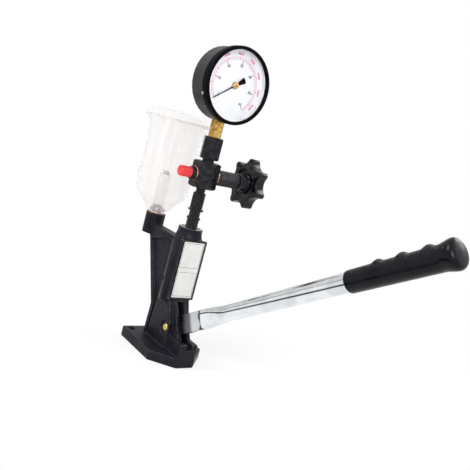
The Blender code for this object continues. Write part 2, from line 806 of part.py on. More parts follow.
def grip_rings():
    length = grip_end - grip_start
    half = grip_bump_half_length
    stations = [(0, 0), (grip_edge, 0)]
    for number in range(3):
        middle = grip_bump_first + number * grip_bump_pitch
        stations += [(middle - half, 0), (middle - half / 3, grip_bump), (middle + half / 3, grip_bump),
                     (middle + half, 0)]
    stations += [(length - grip_flange_length - grip_flange_slope, 0)]
    rings = []
    for x, bump in stations:
        radius = grip_radius + grip_taper * x / length - (grip_edge if x == 0 else 0)
        rings.append((grip_start + x, radius, radius, bump))
    flange_radius = grip_radius + grip_taper + grip_flange
    for x, trim in ((length - grip_flange_length, 0), (length - grip_end_round, 0), (length, grip_end_round)):
        rings.append((grip_start + x, flange_radius - trim, flange_radius - trim, 0))
    return rings


def make_lever():
    frame = make_lever_frame()
    blade = side_plate("lever_blade", blade_outline(), blade_half_thickness, "bright_zinc")
    eye = rod("blade_eye", pin_radius + clearance, -eye_radius, eye_radius, None, small_steps, (0, 0, 0), to_outlet)
    cut(blade, eye)
    tube = loft_along_x("lever_tube", tube_rings(0), tube_rings(tube_wall), small_steps, "bright_zinc")
    bore = tube_radius + clearance
    floor = tube_end + clearance
    grip = loft_along_x("lever_grip", grip_rings(), [(grip_start, bore, bore, 0), (floor, bore, bore, 0)],
                        small_steps, "black_rubber", blind=True)
    for piece in (blade, eye, tube, grip):
        piece.parent = frame


def nose_top():
    return pivot_height - inner_arm * math.sin(lever_swing / 2) + nose_radius


def make_pump_works():
    bottom = nose_top() + clearance
    guide = bottom + foot_height
    top = guide + tappet_guide_height
    profile = [(0, top), (tappet_radius, top), (tappet_radius, guide), (foot_radius, guide),
               (foot_radius, bottom), (0, bottom)]
    turned("tappet", profile, "plain_steel", hidden_steps)
    foot = top + clearance
    shoulder = foot + plunger_foot_height
    tip = barrel_top - plunger_drop
    profile = [(0, tip), (plunger_radius, tip), (plunger_radius, shoulder),
               (plunger_foot_radius, shoulder), (plunger_foot_radius, foot), (0, foot)]
    turned("pump_plunger", profile, "plain_steel", hidden_steps)
    lower = shoulder + clearance
    hole = plunger_radius + clearance
    ring("lower_spring_seat", hole, seat_radius, lower, lower + seat_thickness, "plain_steel", hidden_steps)
    spring_low = lower + seat_thickness + clearance
    spring_high = spring_low + spring_length
    coil("plunger_spring", spring_radius, spring_wire_radius, spring_turns, spring_low, spring_high, "plain_steel")
    upper = spring_high + clearance
    ring("upper_spring_seat", hole, barrel_radius, upper, upper + seat_thickness, "plain_steel", hidden_steps)
    barrel_bottom = upper + seat_thickness + clearance
    ring("pump_barrel", chamber_radius, barrel_radius, barrel_bottom, barrel_top, "plain_steel", hidden_steps)
    print("plunger stroke", round(2 * inner_arm * math.sin(lever_swing / 2) / mm, 3), "mm")
    print("plunger spring from", round(spring_low / mm, 2), "to", round(spring_high / mm, 2), "mm")


def make_grub_screw():
    start = barrel_radius + clearance
    end = column_radius - grub_sunk
    profile = [(0, end - grub_socket_depth), (grub_socket_radius, end - grub_socket_depth),
               (grub_socket_radius, end), (grub_radius, end), (grub_radius, start), (0, start)]
    turned("barrel_locating_screw", profile, "black_steel", hidden_steps, (0, 0, grub_height),
           (math.pi / 2, 0, grub_azimuth))


def make_delivery_valve():
    bottom = barrel_top + clearance
    top = bottom + valve_seat_height
    ring("delivery_valve_seat", valve_seat_bore, barrel_radius, bottom, top, "plain_steel", hidden_steps)
    head = top + clearance
    head_top = head + valve_head_height
    tip = head_top + valve_spigot_height
    profile = [(0, tip), (valve_spigot_radius, tip), (valve_spigot_radius, head_top),
               (valve_head_radius, head_top), (valve_head_radius, head), (valve_stem_radius, head),
               (valve_stem_radius, bottom + clearance), (0, bottom + clearance)]
    turned("delivery_valve", profile, "plain_steel", hidden_steps)
    low = head_top + clearance
    coil("delivery_valve_spring", valve_spring_radius, valve_spring_wire_radius, valve_spring_turns,
         low, low + valve_spring_length, "plain_steel")
    print("delivery spring from", round(low / mm, 2), "to", round((low + valve_spring_length) / mm, 2), "mm")
    return top + clearance, low + valve_spring_length + clearance


def make_delivery_holder(base, cavity_top):
    top = hex_bottom + holder_stem_depth
    cavity, passage, stem = holder_cavity_radius, holder_passage_radius, holder_stem_radius
    profile = [
        (stem, top), (stem, upper_flange_top),
        (upper_flange_radius, upper_flange_top), (upper_flange_radius, upper_flange_bottom),
        (holder_waist_radius, upper_flange_bottom), (holder_waist_radius, lower_flange_top),
        (lower_flange_radius, lower_flange_top), (lower_flange_radius, lower_flange_bottom),
        (holder_neck_radius, lower_flange_bottom), (holder_neck_radius, column_top - clearance),
        (barrel_radius, column_top - clearance), (barrel_radius, base),
        (cavity, base), (cavity, cavity_top), (passage, cavity_top), (passage, top),
    ]
    turned("delivery_holder", profile, "black_steel", small_steps)
    nut = hex_bar("holder_union_nut", union_nut_flats, union_nut_bottom, union_nut_top, nut_chamfer,
                  "black_steel", corner_angle=math.radians(20))
    cut(nut, rod("union_nut_bore", stem + clearance, union_nut_bottom - overrun, union_nut_top + overrun))


def make_valve_block():
    block = hex_bar("valve_block", hex_flats, hex_bottom, hex_top, hex_chamfer, "black_steel")
    flat = hex_flats / 2
    at_valve = (0, 0, valve_height)
    join(block, rod("block_neck", hex_neck_radius, hex_top - hex_neck_radius, hex_neck_top, None, small_steps))
    cut(block,
        rod("holder_port", holder_stem_radius + clearance, hex_bottom - overrun,
            hex_bottom + holder_stem_depth + clearance),
        rod("block_passage", passage_radius, hex_bottom, hex_neck_top + overrun, None, hidden_steps),
        rod("cross_passage", passage_radius, -flat + port_depth / 2, flat - port_depth / 2, None,
            hidden_steps, at_valve, to_knob),
        rod("outlet_port", outlet_port_radius, flat - port_depth, flat + overrun, None, hidden_steps,
            at_valve, to_outlet),
        rod("bonnet_port", bonnet_port_radius, flat - port_depth, flat + overrun, None, hidden_steps,
            at_valve, to_knob),
        rod("needle_port", needle_radius + clearance, needle_tip - clearance, flat, None, hidden_steps,
            at_valve, to_knob))


def make_outlet():
    flat = hex_flats / 2
    at_valve = (0, 0, valve_height)
    washer = flat + clearance
    seat = washer + washer_thickness + clearance
    ring("outlet_washer", outlet_port_radius, outlet_washer_radius, washer, washer + washer_thickness,
         "copper", small_steps, at_valve, to_outlet)
    spigot = outlet_port_radius - clearance
    inner_end = flat - port_depth + clearance
    profile = [(adaptor_thread_radius, adaptor_end), (adaptor_thread_radius, adaptor_flange_end),
               (adaptor_flange_radius, adaptor_flange_end), (adaptor_flange_radius, seat), (spigot, seat),
               (spigot, inner_end), (passage_radius, inner_end), (passage_radius, adaptor_end)]
    turned("outlet_adaptor", profile, "black_steel", small_steps, at_valve, to_outlet)
    start = adaptor_flange_end + clearance
    bore = adaptor_thread_radius + clearance
    floor = adaptor_end + clearance
    profile = [(0, plug_end), (plug_radius - plug_chamfer, plug_end), (plug_radius, plug_end - plug_chamfer),
               (plug_radius, start), (bore, start), (bore, floor), (0, floor)]
    turned("outlet_plug", profile, "red_plastic", small_steps, at_valve, to_outlet)


def make_valve_bonnet():
    flat = hex_flats / 2
    at_valve = (0, 0, valve_height)
    washer = flat + clearance
    seat = washer + washer_thickness + clearance
    ring("bonnet_washer", bonnet_port_radius, bonnet_washer_radius, washer, washer + washer_thickness,
         "copper", small_steps, at_valve, to_knob)
    bonnet = hex_bar("valve_bonnet", bonnet_flats, seat, bonnet_end, nut_chamfer, "black_steel",
                     at_valve, to_knob)
    spigot = bonnet_port_radius - clearance
    join(bonnet, rod("bonnet_spigot", spigot, flat - port_depth + clearance, seat + spigot, None,
                     hidden_steps, at_valve, to_knob))
    bore = spindle_radius + clearance
    pocket = packing_radius + clearance
    pocket_floor = bonnet_end - packing_length - clearance
    top = bonnet_end + overrun
    profile = [(0, top), (pocket, top), (pocket, pocket_floor), (bore, pocket_floor), (bore, 0), (0, 0)]
    cut(bonnet, turned("bonnet_bore", profile, None, hidden_steps, at_valve, to_knob))
    ring("gland_packing", bore, packing_radius, pocket_floor + clearance, bonnet_end, "fibre_packing",
         hidden_steps, at_valve, to_knob)
    profile = [(0, needle_end), (needle_radius, needle_end), (needle_radius, needle_tip + needle_cone),
               (needle_tip_radius, needle_tip), (0, needle_tip)]
    turned("valve_needle", profile, "plain_steel", hidden_steps, at_valve, to_knob)
    shoulder = knob_rim_end - knob_front_recess_depth
    tip = shoulder + clearance + knob_nut_height
    profile = [(0, tip), (spindle_end_radius, tip), (spindle_end_radius, shoulder), (spindle_radius, shoulder),
               (spindle_radius, needle_end + clearance), (0, needle_end + clearance)]
    turned("valve_spindle", profile, "plain_steel", small_steps, at_valve, to_knob)


def star_outline():
    """Narrow tips on a circle, with a round hollow between each two."""
    tip, valley = knob_tip_radius, knob_valley_radius
    pitch = 2 * math.pi / knob_lobes
    corner_turn = pitch / 2 - math.asin(knob_tip_half_width / tip)
    corner = Vector((tip * math.cos(corner_turn), tip * math.sin(corner_turn)))
    centre = (tip ** 2 - valley ** 2) / (2 * (corner.x - valley))
    start = math.atan2(corner.y, corner.x - centre)
    hollow = arc((centre, 0), centre - valley, 2 * math.pi - start, start, 7)
    points = []
    for number in range(knob_lobes):
        turn = Matrix.Rotation(knob_rest_turn + pitch * (number + 1 / 2), 2)
        points += [turn @ Vector(point) for point in hollow]
    return [(-point.x, point.y) for point in points]


def make_star_knob():
    at_valve = (0, 0, valve_height)
    half = (knob_rim_end - knob_rim_start) / 2
    knob = plate("star_knob", star_outline(), half, (0, 0, 0), knob_rim_start + half, "black_plastic",
                 knob_edge_bevel)
    knob.location = at_valve
    knob.rotation_euler = to_knob
    hub = rod("knob_hub", knob_hub_radius, knob_hub_start, knob_rim_start + half, None, small_steps,
              at_valve, to_knob)
    join(knob, hub)
    groove = ring("knob_groove", knob_groove_inner, knob_groove_outer, knob_rim_start - overrun,
                  knob_rim_start + knob_groove_depth, None, small_steps, at_valve, to_knob)
    bore = spindle_radius + clearance
    recess_floor = knob_rim_end - knob_front_recess_depth
    top = knob_rim_end + overrun
    profile = [(0, top), (knob_front_recess_radius, top), (knob_front_recess_radius, recess_floor),
               (bore, recess_floor), (bore, 0), (0, 0)]
    cut(knob, groove, turned("knob_bore", profile, None, small_steps, at_valve, to_knob))
    seat = recess_floor + clearance
    nut = hex_bar("knob_nut", knob_nut_flats, seat, seat + knob_nut_height, nut_chamfer, "plain_steel",
                  at_valve, to_knob)
    cut(nut, rod("knob_nut_bore", spindle_end_radius + clearance, seat - overrun,
                 seat + knob_nut_height + overrun, None, hidden_steps, at_valve, to_knob))


def make_gauge_connection():
    nut = hex_bar("gauge_union_nut", gauge_nut_flats, gauge_nut_bottom, gauge_nut_top, nut_chamfer,
                  "black_steel", corner_angle=math.radians(-28))
    bore = hex_neck_radius + clearance
    cut(nut, rod("gauge_nut_bore", bore, gauge_nut_bottom - overrun, gauge_nut_top + overrun))
    seal = hex_neck_top + clearance
    ring("gauge_seal", seal_bore, hex_neck_radius, seal, seal + seal_thickness, "copper", hidden_steps)
    start = seal + seal_thickness + clearance
    shoulder = gauge_nut_top + clearance
    half = stem_half_square
    stem = box("gauge_stem", (-half, -half, shoulder), (half, half, stem_top), "brass")
    join(stem, rod("stem_spigot", stem_spigot_radius, start, shoulder + stem_half_square / 2, None, small_steps))
    cut(stem, rod("stem_passage", passage_radius, start - overrun, stem_top - stem_bore_margin, None, hidden_steps))


def radial_turn(angle):
    """Turns +Z to point outwards from the gauge's axis, at angle from +Y in the YZ plane."""
    return Matrix.Rotation(angle, 4, "X") @ Matrix.Rotation(-math.pi / 2, 4, "X")


def make_gauge_case():
    at_gauge = (0, 0, gauge_height)
    inner = case_radius - case_wall
    floor = case_back + case_wall
    profile = [(0, floor), (inner, floor), (inner, case_front), (case_radius, case_front),
               (case_radius, case_back + case_edge), (case_radius - case_edge, case_back), (0, case_back)]
    case = turned("gauge_case", profile, "black_steel", large_steps, at_gauge, to_front)
    half = stem_half_square + clearance
    low = gauge_height - case_radius - overrun
    cut(case, box("stem_window", (-half, -half, low), (half, half, stem_top)))
    profile = [(bezel_lip_radius, bezel_front), (bezel_radius - bezel_edge, bezel_front),
               (bezel_radius, bezel_front - bezel_edge), (bezel_radius, bezel_back),
               (case_radius + clearance, bezel_back), (case_radius + clearance, bezel_lip_back),
               (bezel_lip_radius, bezel_lip_back)]
    bezel = turned("gauge_bezel", profile, "black_plastic", large_steps, at_gauge, to_front)
    hole = screw_shank_radius + clearance
    for drop in case_screw_drops:
        cut(case, rod("case_screw_hole", hole, case_back - overrun, floor + overrun, None, hidden_steps,
                      (0, 0, gauge_height - drop), to_front))
    place = Matrix.Translation((bezel_screw_reach, 0, gauge_height))
    for angle in bezel_screw_angles:
        for target in (case, bezel):
            tool = rod("bezel_screw_hole", bezel_shank_radius + clearance, inner - overrun,
                       bezel_radius + overrun, None, screw_steps)
            tool.matrix_world = place @ radial_turn(angle)
            cut(target, tool)
    start = bezel_radius + clearance
    end = start + bezel_screw_height
    profile = [(0, end), (bezel_screw_radius, end), (bezel_screw_radius, start), (bezel_shank_radius, start),
               (bezel_shank_radius, inner), (0, inner)]
    for number, angle in enumerate(bezel_screw_angles, 1):
        screw = turned(f"bezel_screw_{number}", profile, "plain_steel", screw_steps)
        screw.matrix_world = place @ radial_turn(angle)
    outer = -case_back + clearance
    profile = [(0, outer + screw_head_height), (screw_head_radius, outer + screw_head_height),
               (screw_head_radius, outer), (screw_shank_radius, outer),
               (screw_shank_radius, stem_half_square + clearance), (0, stem_half_square + clearance)]
    for name, drop in zip(("case_screw_lower", "case_screw_upper"), case_screw_drops):
        turned(name, profile, "plain_steel", screw_steps, (0, 0, gauge_height - drop), to_back)


def make_gauge_face():
    at_gauge = (0, 0, gauge_height)
    start = case_front + clearance
    rod("gauge_glass", glass_radius, start, start + glass_thickness, "gauge_glass", large_steps, at_gauge, to_front)
    ring("gauge_dial", dial_bore, dial_radius, dial_back, dial_back + dial_thickness, "white_enamel",
         large_steps, at_gauge, to_front)
    rim = case_radius - case_wall - clearance
    ring("dial_spacer", rim - spacer_width, rim, dial_front + clearance, case_front, "white_enamel",
         large_steps, at_gauge, to_front)
    root, waist, tail = pointer_root_half_width, pointer_waist, pointer_tail
    outline = [(pointer_tip, -pointer_tip_half_width), (pointer_tip, pointer_tip_half_width),
               (waist, root), (-waist, root), (-tail, pointer_tail_half_width),
               (-tail, -pointer_tail_half_width), (-waist, -root), (waist, -root)]
    half = pointer_thickness / 2
    pointer = plate("gauge_pointer", outline, half, (0, 0, 0), pointer_back + half, "black_plastic")
    disc = rod("pointer_disc", boss_cap_radius, pointer_back, pointer_back + pointer_thickness, None, hidden_steps)
    hole = rod("pointer_hole", boss_sleeve_radius + clearance, pointer_back - overrun,
               pointer_back + pointer_thickness + overrun, None, hidden_steps)
    join(pointer, disc)
    cut(pointer, hole)
    # At zero the pointer lies half its swing to the left of the dial's top, seen from the front
    zero = Matrix.Translation(at_gauge) @ Matrix.Rotation(math.pi / 2, 4, "Y")
    zero = zero @ Matrix.Rotation(pointer_swing / 2 - math.pi - dial_turn, 4, "Z")
    for piece in (pointer, disc, hole):
        piece.matrix_world = zero
    cap = pointer_back + pointer_thickness + clearance
    bore = pivot_spindle_radius + clearance
    profile = [(boss_cap_radius, boss_cap_end), (boss_cap_radius, cap), (boss_sleeve_radius, cap),
               (boss_sleeve_radius, boss_sleeve_start), (bore, boss_sleeve_start), (bore, boss_cap_end)]
    turned("pointer_boss", profile, "brass", hidden_steps, at_gauge, to_front)


def make_gauge_movement():
    at_gauge = (0, 0, gauge_height)
    bottom = stem_top + clearance
    sector_height = gauge_height - pinion_radius - clearance - sector_radius
    width = frame_half_width
    frame = box("movement_frame", (frame_back, -width, bottom), (frame_back + frame_plate, width, frame_top), "brass")
    join(frame, box("front_plate", (frame_front - frame_plate, -width, bottom), (frame_front, width, frame_top)))
    for side in (-1, 1):
        for height in (bottom + post_inset, frame_top - post_inset):
            place = (0, side * (width - post_inset), height)
            join(frame, rod("frame_post", post_radius, frame_back + frame_plate / 2, frame_front - frame_plate / 2,
                            None, screw_steps, place, to_front))
    for radius, height in ((pivot_spindle_radius, gauge_height), (sector_shaft_radius, sector_height)):
        cut(frame, rod("pivot_hole", radius + clearance, frame_back - overrun, frame_front + overrun, None,
                       screw_steps, (0, 0, height), to_front))
    shaft_start, shaft_end = frame_back + clearance, frame_front - clearance
    profile = [(0, spindle_tip), (pivot_spindle_radius, spindle_tip), (pivot_spindle_radius, pinion_end),
               (pinion_radius, pinion_end), (pinion_radius, pinion_start), (pivot_spindle_radius, pinion_start),
               (pivot_spindle_radius, shaft_start), (0, shaft_start)]
    turned("pinion_spindle", profile, "brass", hidden_steps, at_gauge, to_front)
    lean = math.pi - sector_swing / 2
    outline = arc((0, 0), sector_radius, lean - sector_half_span, lean + sector_half_span, 9)
    outline += arc((0, 0), sector_hub_radius, lean + math.pi / 3, lean + 5 * math.pi / 3, 9)
    half = sector_thickness / 2
    sector = plate("sector_gear", outline, half, (0, 0, 0), sector_back + half, "brass")
    shaft = rod("sector_shaft", sector_shaft_radius, shaft_start, shaft_end, None, screw_steps)
    join(sector, shaft)
    for piece in (sector, shaft):
        piece.location = (0, 0, sector_height)
        piece.rotation_euler = to_front
    print("sector pivot at", round(sector_height / mm, 2), "mm")
    curve = bpy.data.curves.new("bourdon_tube", "CURVE")
    curve.dimensions = "3D"
    curve.bevel_depth = bourdon_tube_radius
    curve.bevel_resolution = 2
    curve.use_fill_caps = True
    spline = curve.splines.new("POLY")
    count = 25
    spline.points.add(count - 1)
    for i, point in enumerate(spline.points):
        angle = bourdon_start + bourdon_sweep * i / (count - 1)
        point.co = (bourdon_offset, bourdon_radius * math.cos(angle),
                    gauge_height + bourdon_radius * math.sin(angle), 1)
    mesh_from_curve(add_object("bourdon_tube", curve), "brass")


def cup_profile():
    foot = tank_washer_thickness + 2 * clearance
    height = cup_height - foot
    bore = tank_bolt_radius + clearance
    outer = [(cup_rim_radius * radius, foot + height * rise) for rise, radius in cup_outline_shares]
    inner = [(radius - cup_wall, level) for radius, level in outer[2::2]]
    floor = foot + cup_floor
    return list(reversed(outer)) + [(bore, foot), (bore, floor), (cup_floor_radius, floor)] + inner


def make_reservoir():
    at_boss = (-boss_reach, 0, boss_top)
    bolt_hole = tank_bolt_radius + clearance
    ring("reservoir_washer", bolt_hole, cup_foot_radius, clearance, clearance + tank_washer_thickness,
         "copper", small_steps, at_boss)
    turned("reservoir_cup", cup_profile(), "clear_plastic", cup_steps, at_boss)
    seat = tank_washer_thickness + cup_floor + 3 * clearance
    top = seat + tank_bolt_flange
    spigot = strainer_radius - strainer_wall - clearance
    profile = [(spigot, top + tank_spigot_height), (spigot, top), (tank_bolt_flange_radius, top),
               (tank_bolt_flange_radius, seat), (tank_bolt_radius, seat), (tank_bolt_radius, -tank_bolt_depth),
               (tank_bolt_bore, -tank_bolt_depth), (tank_bolt_bore, top + tank_spigot_height)]
    turned("reservoir_bolt", profile, "plain_steel", small_steps, at_boss)
    strainer_end = strainer_height
    roof = strainer_end - strainer_wall
    bore = strainer_radius - strainer_wall
    profile = [(strainer_radius, strainer_end), (strainer_radius, top + clearance), (bore, top + clearance),
               (bore, roof), (strainer_hole_radius, roof), (strainer_hole_radius, strainer_end)]
    turned("strainer_tube", profile, "white_nylon", small_steps, at_boss)
    cap = strainer_end + clearance
    plug = strainer_hole_radius - clearance
    profile = [(0, cap + strainer_cap_height), (strainer_cap_radius, cap + strainer_cap_height),
               (strainer_cap_radius, cap), (plug, cap), (plug, roof), (0, roof)]
    turned("strainer_cap", profile, "black_plastic", small_steps, at_boss)
    rim = cup_height + clearance
    top = rim + lid_plate
    skirt = cup_rim_radius + lid_skirt_gap
    bottom = top - lid_height
    shoulder = lid_radius - lid_edge
    dome = [(shoulder * i / lid_dome_steps, top + lid_dome * (1 - (i / lid_dome_steps) ** 2))
            for i in range(lid_dome_steps)]
    profile = dome + [(shoulder, top), (lid_radius, top - lid_edge), (lid_radius, bottom),
                      (skirt, bottom), (skirt, rim), (0, rim)]
    turned("reservoir_lid", profile, "clear_plastic", cup_steps, at_boss)


groups = {}
finishes = {}


def main():
    start_scene()
    make_finishes()
    make_body_casting()
    make_label_plate()
    make_pivot()
    make_lever()
    make_pump_works()
    make_grub_screw()
    base, cavity_top = make_delivery_valve()
    make_delivery_holder(base, cavity_top)
    make_valve_block()
    make_outlet()
    make_valve_bonnet()
    make_star_knob()
    make_gauge_connection()
    make_gauge_case()
    make_gauge_face()
    make_gauge_movement()
    make_reservoir()
    bpy.context.view_layer.update()


main()
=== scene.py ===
from math import asin, copysign, cos, hypot, pi, radians, sin, sqrt, tan

import bmesh
import bpy
from mathutils import Matrix, Vector


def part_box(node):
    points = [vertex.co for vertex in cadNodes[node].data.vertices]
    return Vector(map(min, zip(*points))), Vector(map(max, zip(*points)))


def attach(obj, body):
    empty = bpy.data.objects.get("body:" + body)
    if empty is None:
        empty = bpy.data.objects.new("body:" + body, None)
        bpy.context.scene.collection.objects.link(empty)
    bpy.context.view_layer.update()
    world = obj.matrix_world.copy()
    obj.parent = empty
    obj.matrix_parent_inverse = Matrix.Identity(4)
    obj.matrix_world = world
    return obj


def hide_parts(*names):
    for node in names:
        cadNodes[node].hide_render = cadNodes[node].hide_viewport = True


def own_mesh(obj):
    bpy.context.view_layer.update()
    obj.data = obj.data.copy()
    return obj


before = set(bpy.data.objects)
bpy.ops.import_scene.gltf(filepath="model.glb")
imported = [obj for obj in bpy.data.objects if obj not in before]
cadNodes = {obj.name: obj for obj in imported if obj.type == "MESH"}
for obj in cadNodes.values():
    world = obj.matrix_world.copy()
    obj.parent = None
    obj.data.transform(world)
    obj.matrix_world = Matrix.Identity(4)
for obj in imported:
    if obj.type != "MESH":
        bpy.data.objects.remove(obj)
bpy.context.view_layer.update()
print("frame loaded:", len(cadNodes), "nodes")

# The frames that pieces are built in: local +Z runs along a turned piece's axis, and local +X along the lever
quarter = pi / 2
valveCentre = (0, 0, 0.2503)
gaugeCentre = (0, 0, 0.3727)
boss = (-0.096, 0, 0.1722)
leverPivot = (0.0185, 0, 0.0385)
leverRise = radians(31.85)
page = Matrix(((0, 0, 1, 0), (1, 0, 0, 0), (0, 1, 0, 0), (0, 0, 0, 1)))  # faces +X, with +Z at its top
column = Matrix.Identity(4)
outletAxis = Matrix.Translation(valveCentre) @ Matrix.Rotation(quarter, 4, "X")
knobAxis = Matrix.Translation(valveCentre) @ Matrix.Rotation(-quarter, 4, "X")
gaugeAxis = Matrix.Translation(gaugeCentre) @ Matrix.Rotation(quarter, 4, "Y")
dialFace = Matrix.Translation(gaugeCentre) @ page
bossAxis = Matrix.Translation(boss)
leverAxis = Matrix.Translation(leverPivot) @ Matrix.Rotation(-leverRise, 4, "Y")
pinAxis = Matrix.Translation(leverPivot) @ Matrix.Rotation(quarter, 4, "X")


def addNode(tree, kind, inputs=None, **settings):
    node = tree.nodes.new("ShaderNode" + kind)
    for name, value in settings.items():
        setattr(node, name, value)
    for name, value in (inputs or {}).items():
        plug(tree, node.inputs[name], value)
    return node


def plug(tree, socket, value):
    if isinstance(value, bpy.types.NodeSocket):
        tree.links.new(value, socket)
    else:
        socket.default_value = value


def mathNode(tree, operation, first, second=0.0, third=0.0):
    node = addNode(tree, "Math", operation=operation)
    for socket, value in zip(node.inputs, (first, second, third)):
        plug(tree, socket, value)
    return node.outputs[0]


def dot(tree, first, second):
    return addNode(tree, "VectorMath", {0: first, 1: second}, operation="DOT_PRODUCT").outputs["Value"]


def mixColour(tree, factor, first, second):
    node = addNode(tree, "Mix", {0: factor}, data_type="RGBA")
    for socket, colour in zip(node.inputs[6:8], (first, second)):  # the sockets of the two colours
        plug(tree, socket, (*colour, 1) if isinstance(colour, tuple) else colour)
    return node.outputs[2]


def between(tree, value, low, high, start=0.0, end=1.0):
    node = addNode(tree, "MapRange", interpolation_type="SMOOTHSTEP")
    for socket, number in zip(node.inputs, (value, low, high, start, end)):
        plug(tree, socket, number)
    return node.outputs[0]


def objectCoords(tree):
    return addNode(tree, "TexCoord").outputs["Object"]


def noise(tree, coords, size, detail):
    return addNode(tree, "TexNoise", {
        "Vector": coords, "Scale": mathNode(tree, "DIVIDE", 1.0, size), "Detail": detail}).outputs[0]


def startGroup(name, inputs, outputs):
    group = bpy.data.node_groups.new(name, "ShaderNodeTree")
    for label, value in inputs.items():
        kind = "NodeSocketVector" if isinstance(value, tuple) else "NodeSocketFloat"
        group.interface.new_socket(label, in_out="INPUT", socket_type=kind).default_value = value
    for label in outputs:
        group.interface.new_socket(label, in_out="OUTPUT", socket_type="NodeSocketFloat")
    return group, group.nodes.new("NodeGroupInput").outputs, group.nodes.new("NodeGroupOutput").inputs


groupValues = dict(
    fineDetail=3.0, cloudDetail=2.0, cloudBand=(0.3, 0.7),
    patchDetail=4.0, edgePatches=(0.38, 0.62), ridgePatches=(0.35, 0.65),
    bevelSamples=8, bendStart=0.01,
)


def grainGroup():
    group, given, out = startGroup("surface grain", {"Size": 0.001, "Stretch": (1, 1, 1), "Cloud Size": 0.03},
                                   ("Height", "Cloud"))
    coords = objectCoords(group)
    stretched = addNode(group, "Mapping", {"Vector": coords, "Scale": given["Stretch"]},
                        vector_type="TEXTURE").outputs[0]
    plug(group, out["Height"], noise(group, stretched, given["Size"], groupValues["fineDetail"]))
    cloud = noise(group, coords, given["Cloud Size"], groupValues["cloudDetail"])
    plug(group, out["Cloud"], between(group, cloud, *groupValues["cloudBand"]))
    return group


def plugMask(group, given, out, worn, band):
    patches = noise(group, objectCoords(group), given["Patch Size"], groupValues["patchDetail"])
    plug(group, out["Mask"], mathNode(group, "MULTIPLY", between(group, patches, *band), worn))


# Lighter colour where the surface bends at edges: wear, and also a painted highlight along the edges
def wornEdgeGroup():
    group, given, out = startGroup("worn edges and painted highlights", {"Radius": 0.0006, "Reach": 0.25, "Patch Size": 0.004},
                                   ("Mask",))
    flat = addNode(group, "NewGeometry").outputs["Normal"]
    soft = addNode(group, "Bevel", {"Radius": given["Radius"]}, samples=groupValues["bevelSamples"])
    bend = mathNode(group, "SUBTRACT", 1.0, dot(group, flat, soft.outputs[0]))
    edges = between(group, bend, groupValues["bendStart"], given["Reach"])
    plugMask(group, given, out, edges, groupValues["edgePatches"])
    return group


# Lighter colour on convex ridges: wear, and also a painted highlight along the edges
def wornRidgeGroup():
    group, given, out = startGroup("worn ridges and painted highlights", {"Start": 0.53, "End": 0.6, "Patch Size": 0.006},
                                   ("Mask",))
    point = addNode(group, "NewGeometry").outputs["Pointiness"]
    ridges = between(group, point, given["Start"], given["End"])
    plugMask(group, given, out, ridges, groupValues["ridgePatches"])
    return group


groups = dict(grain=grainGroup(), wornEdgesAndHighlights=wornEdgeGroup(), wornRidgesAndHighlights=wornRidgeGroup())
materials = {}


def useGroup(tree, name, **inputs):
    node = addNode(tree, "Group", node_tree=groups[name])
    for label, value in inputs.items():
        plug(tree, node.inputs[label.replace("_", " ")], value)
    return node.outputs


def startMaterial(name, **sockets):
    material = bpy.data.materials.new(name)
    material.use_nodes = True
    shader = material.node_tree.nodes["Principled BSDF"].inputs
    for label, value in sockets.items():
        shader[label.replace("_", " ")].default_value = value
    materials[name] = material
    return material.node_tree, shader


def finishShader(tree, shader, spec, colour, roughness, height):
    relief = {"Height": height, "Strength": spec["strength"], "Distance": spec["depth"]}
    plug(tree, shader["Base Color"], colour)
    plug(tree, shader["Roughness"], roughness)
    plug(tree, shader["Normal"], addNode(tree, "Bump", relief).outputs[0])


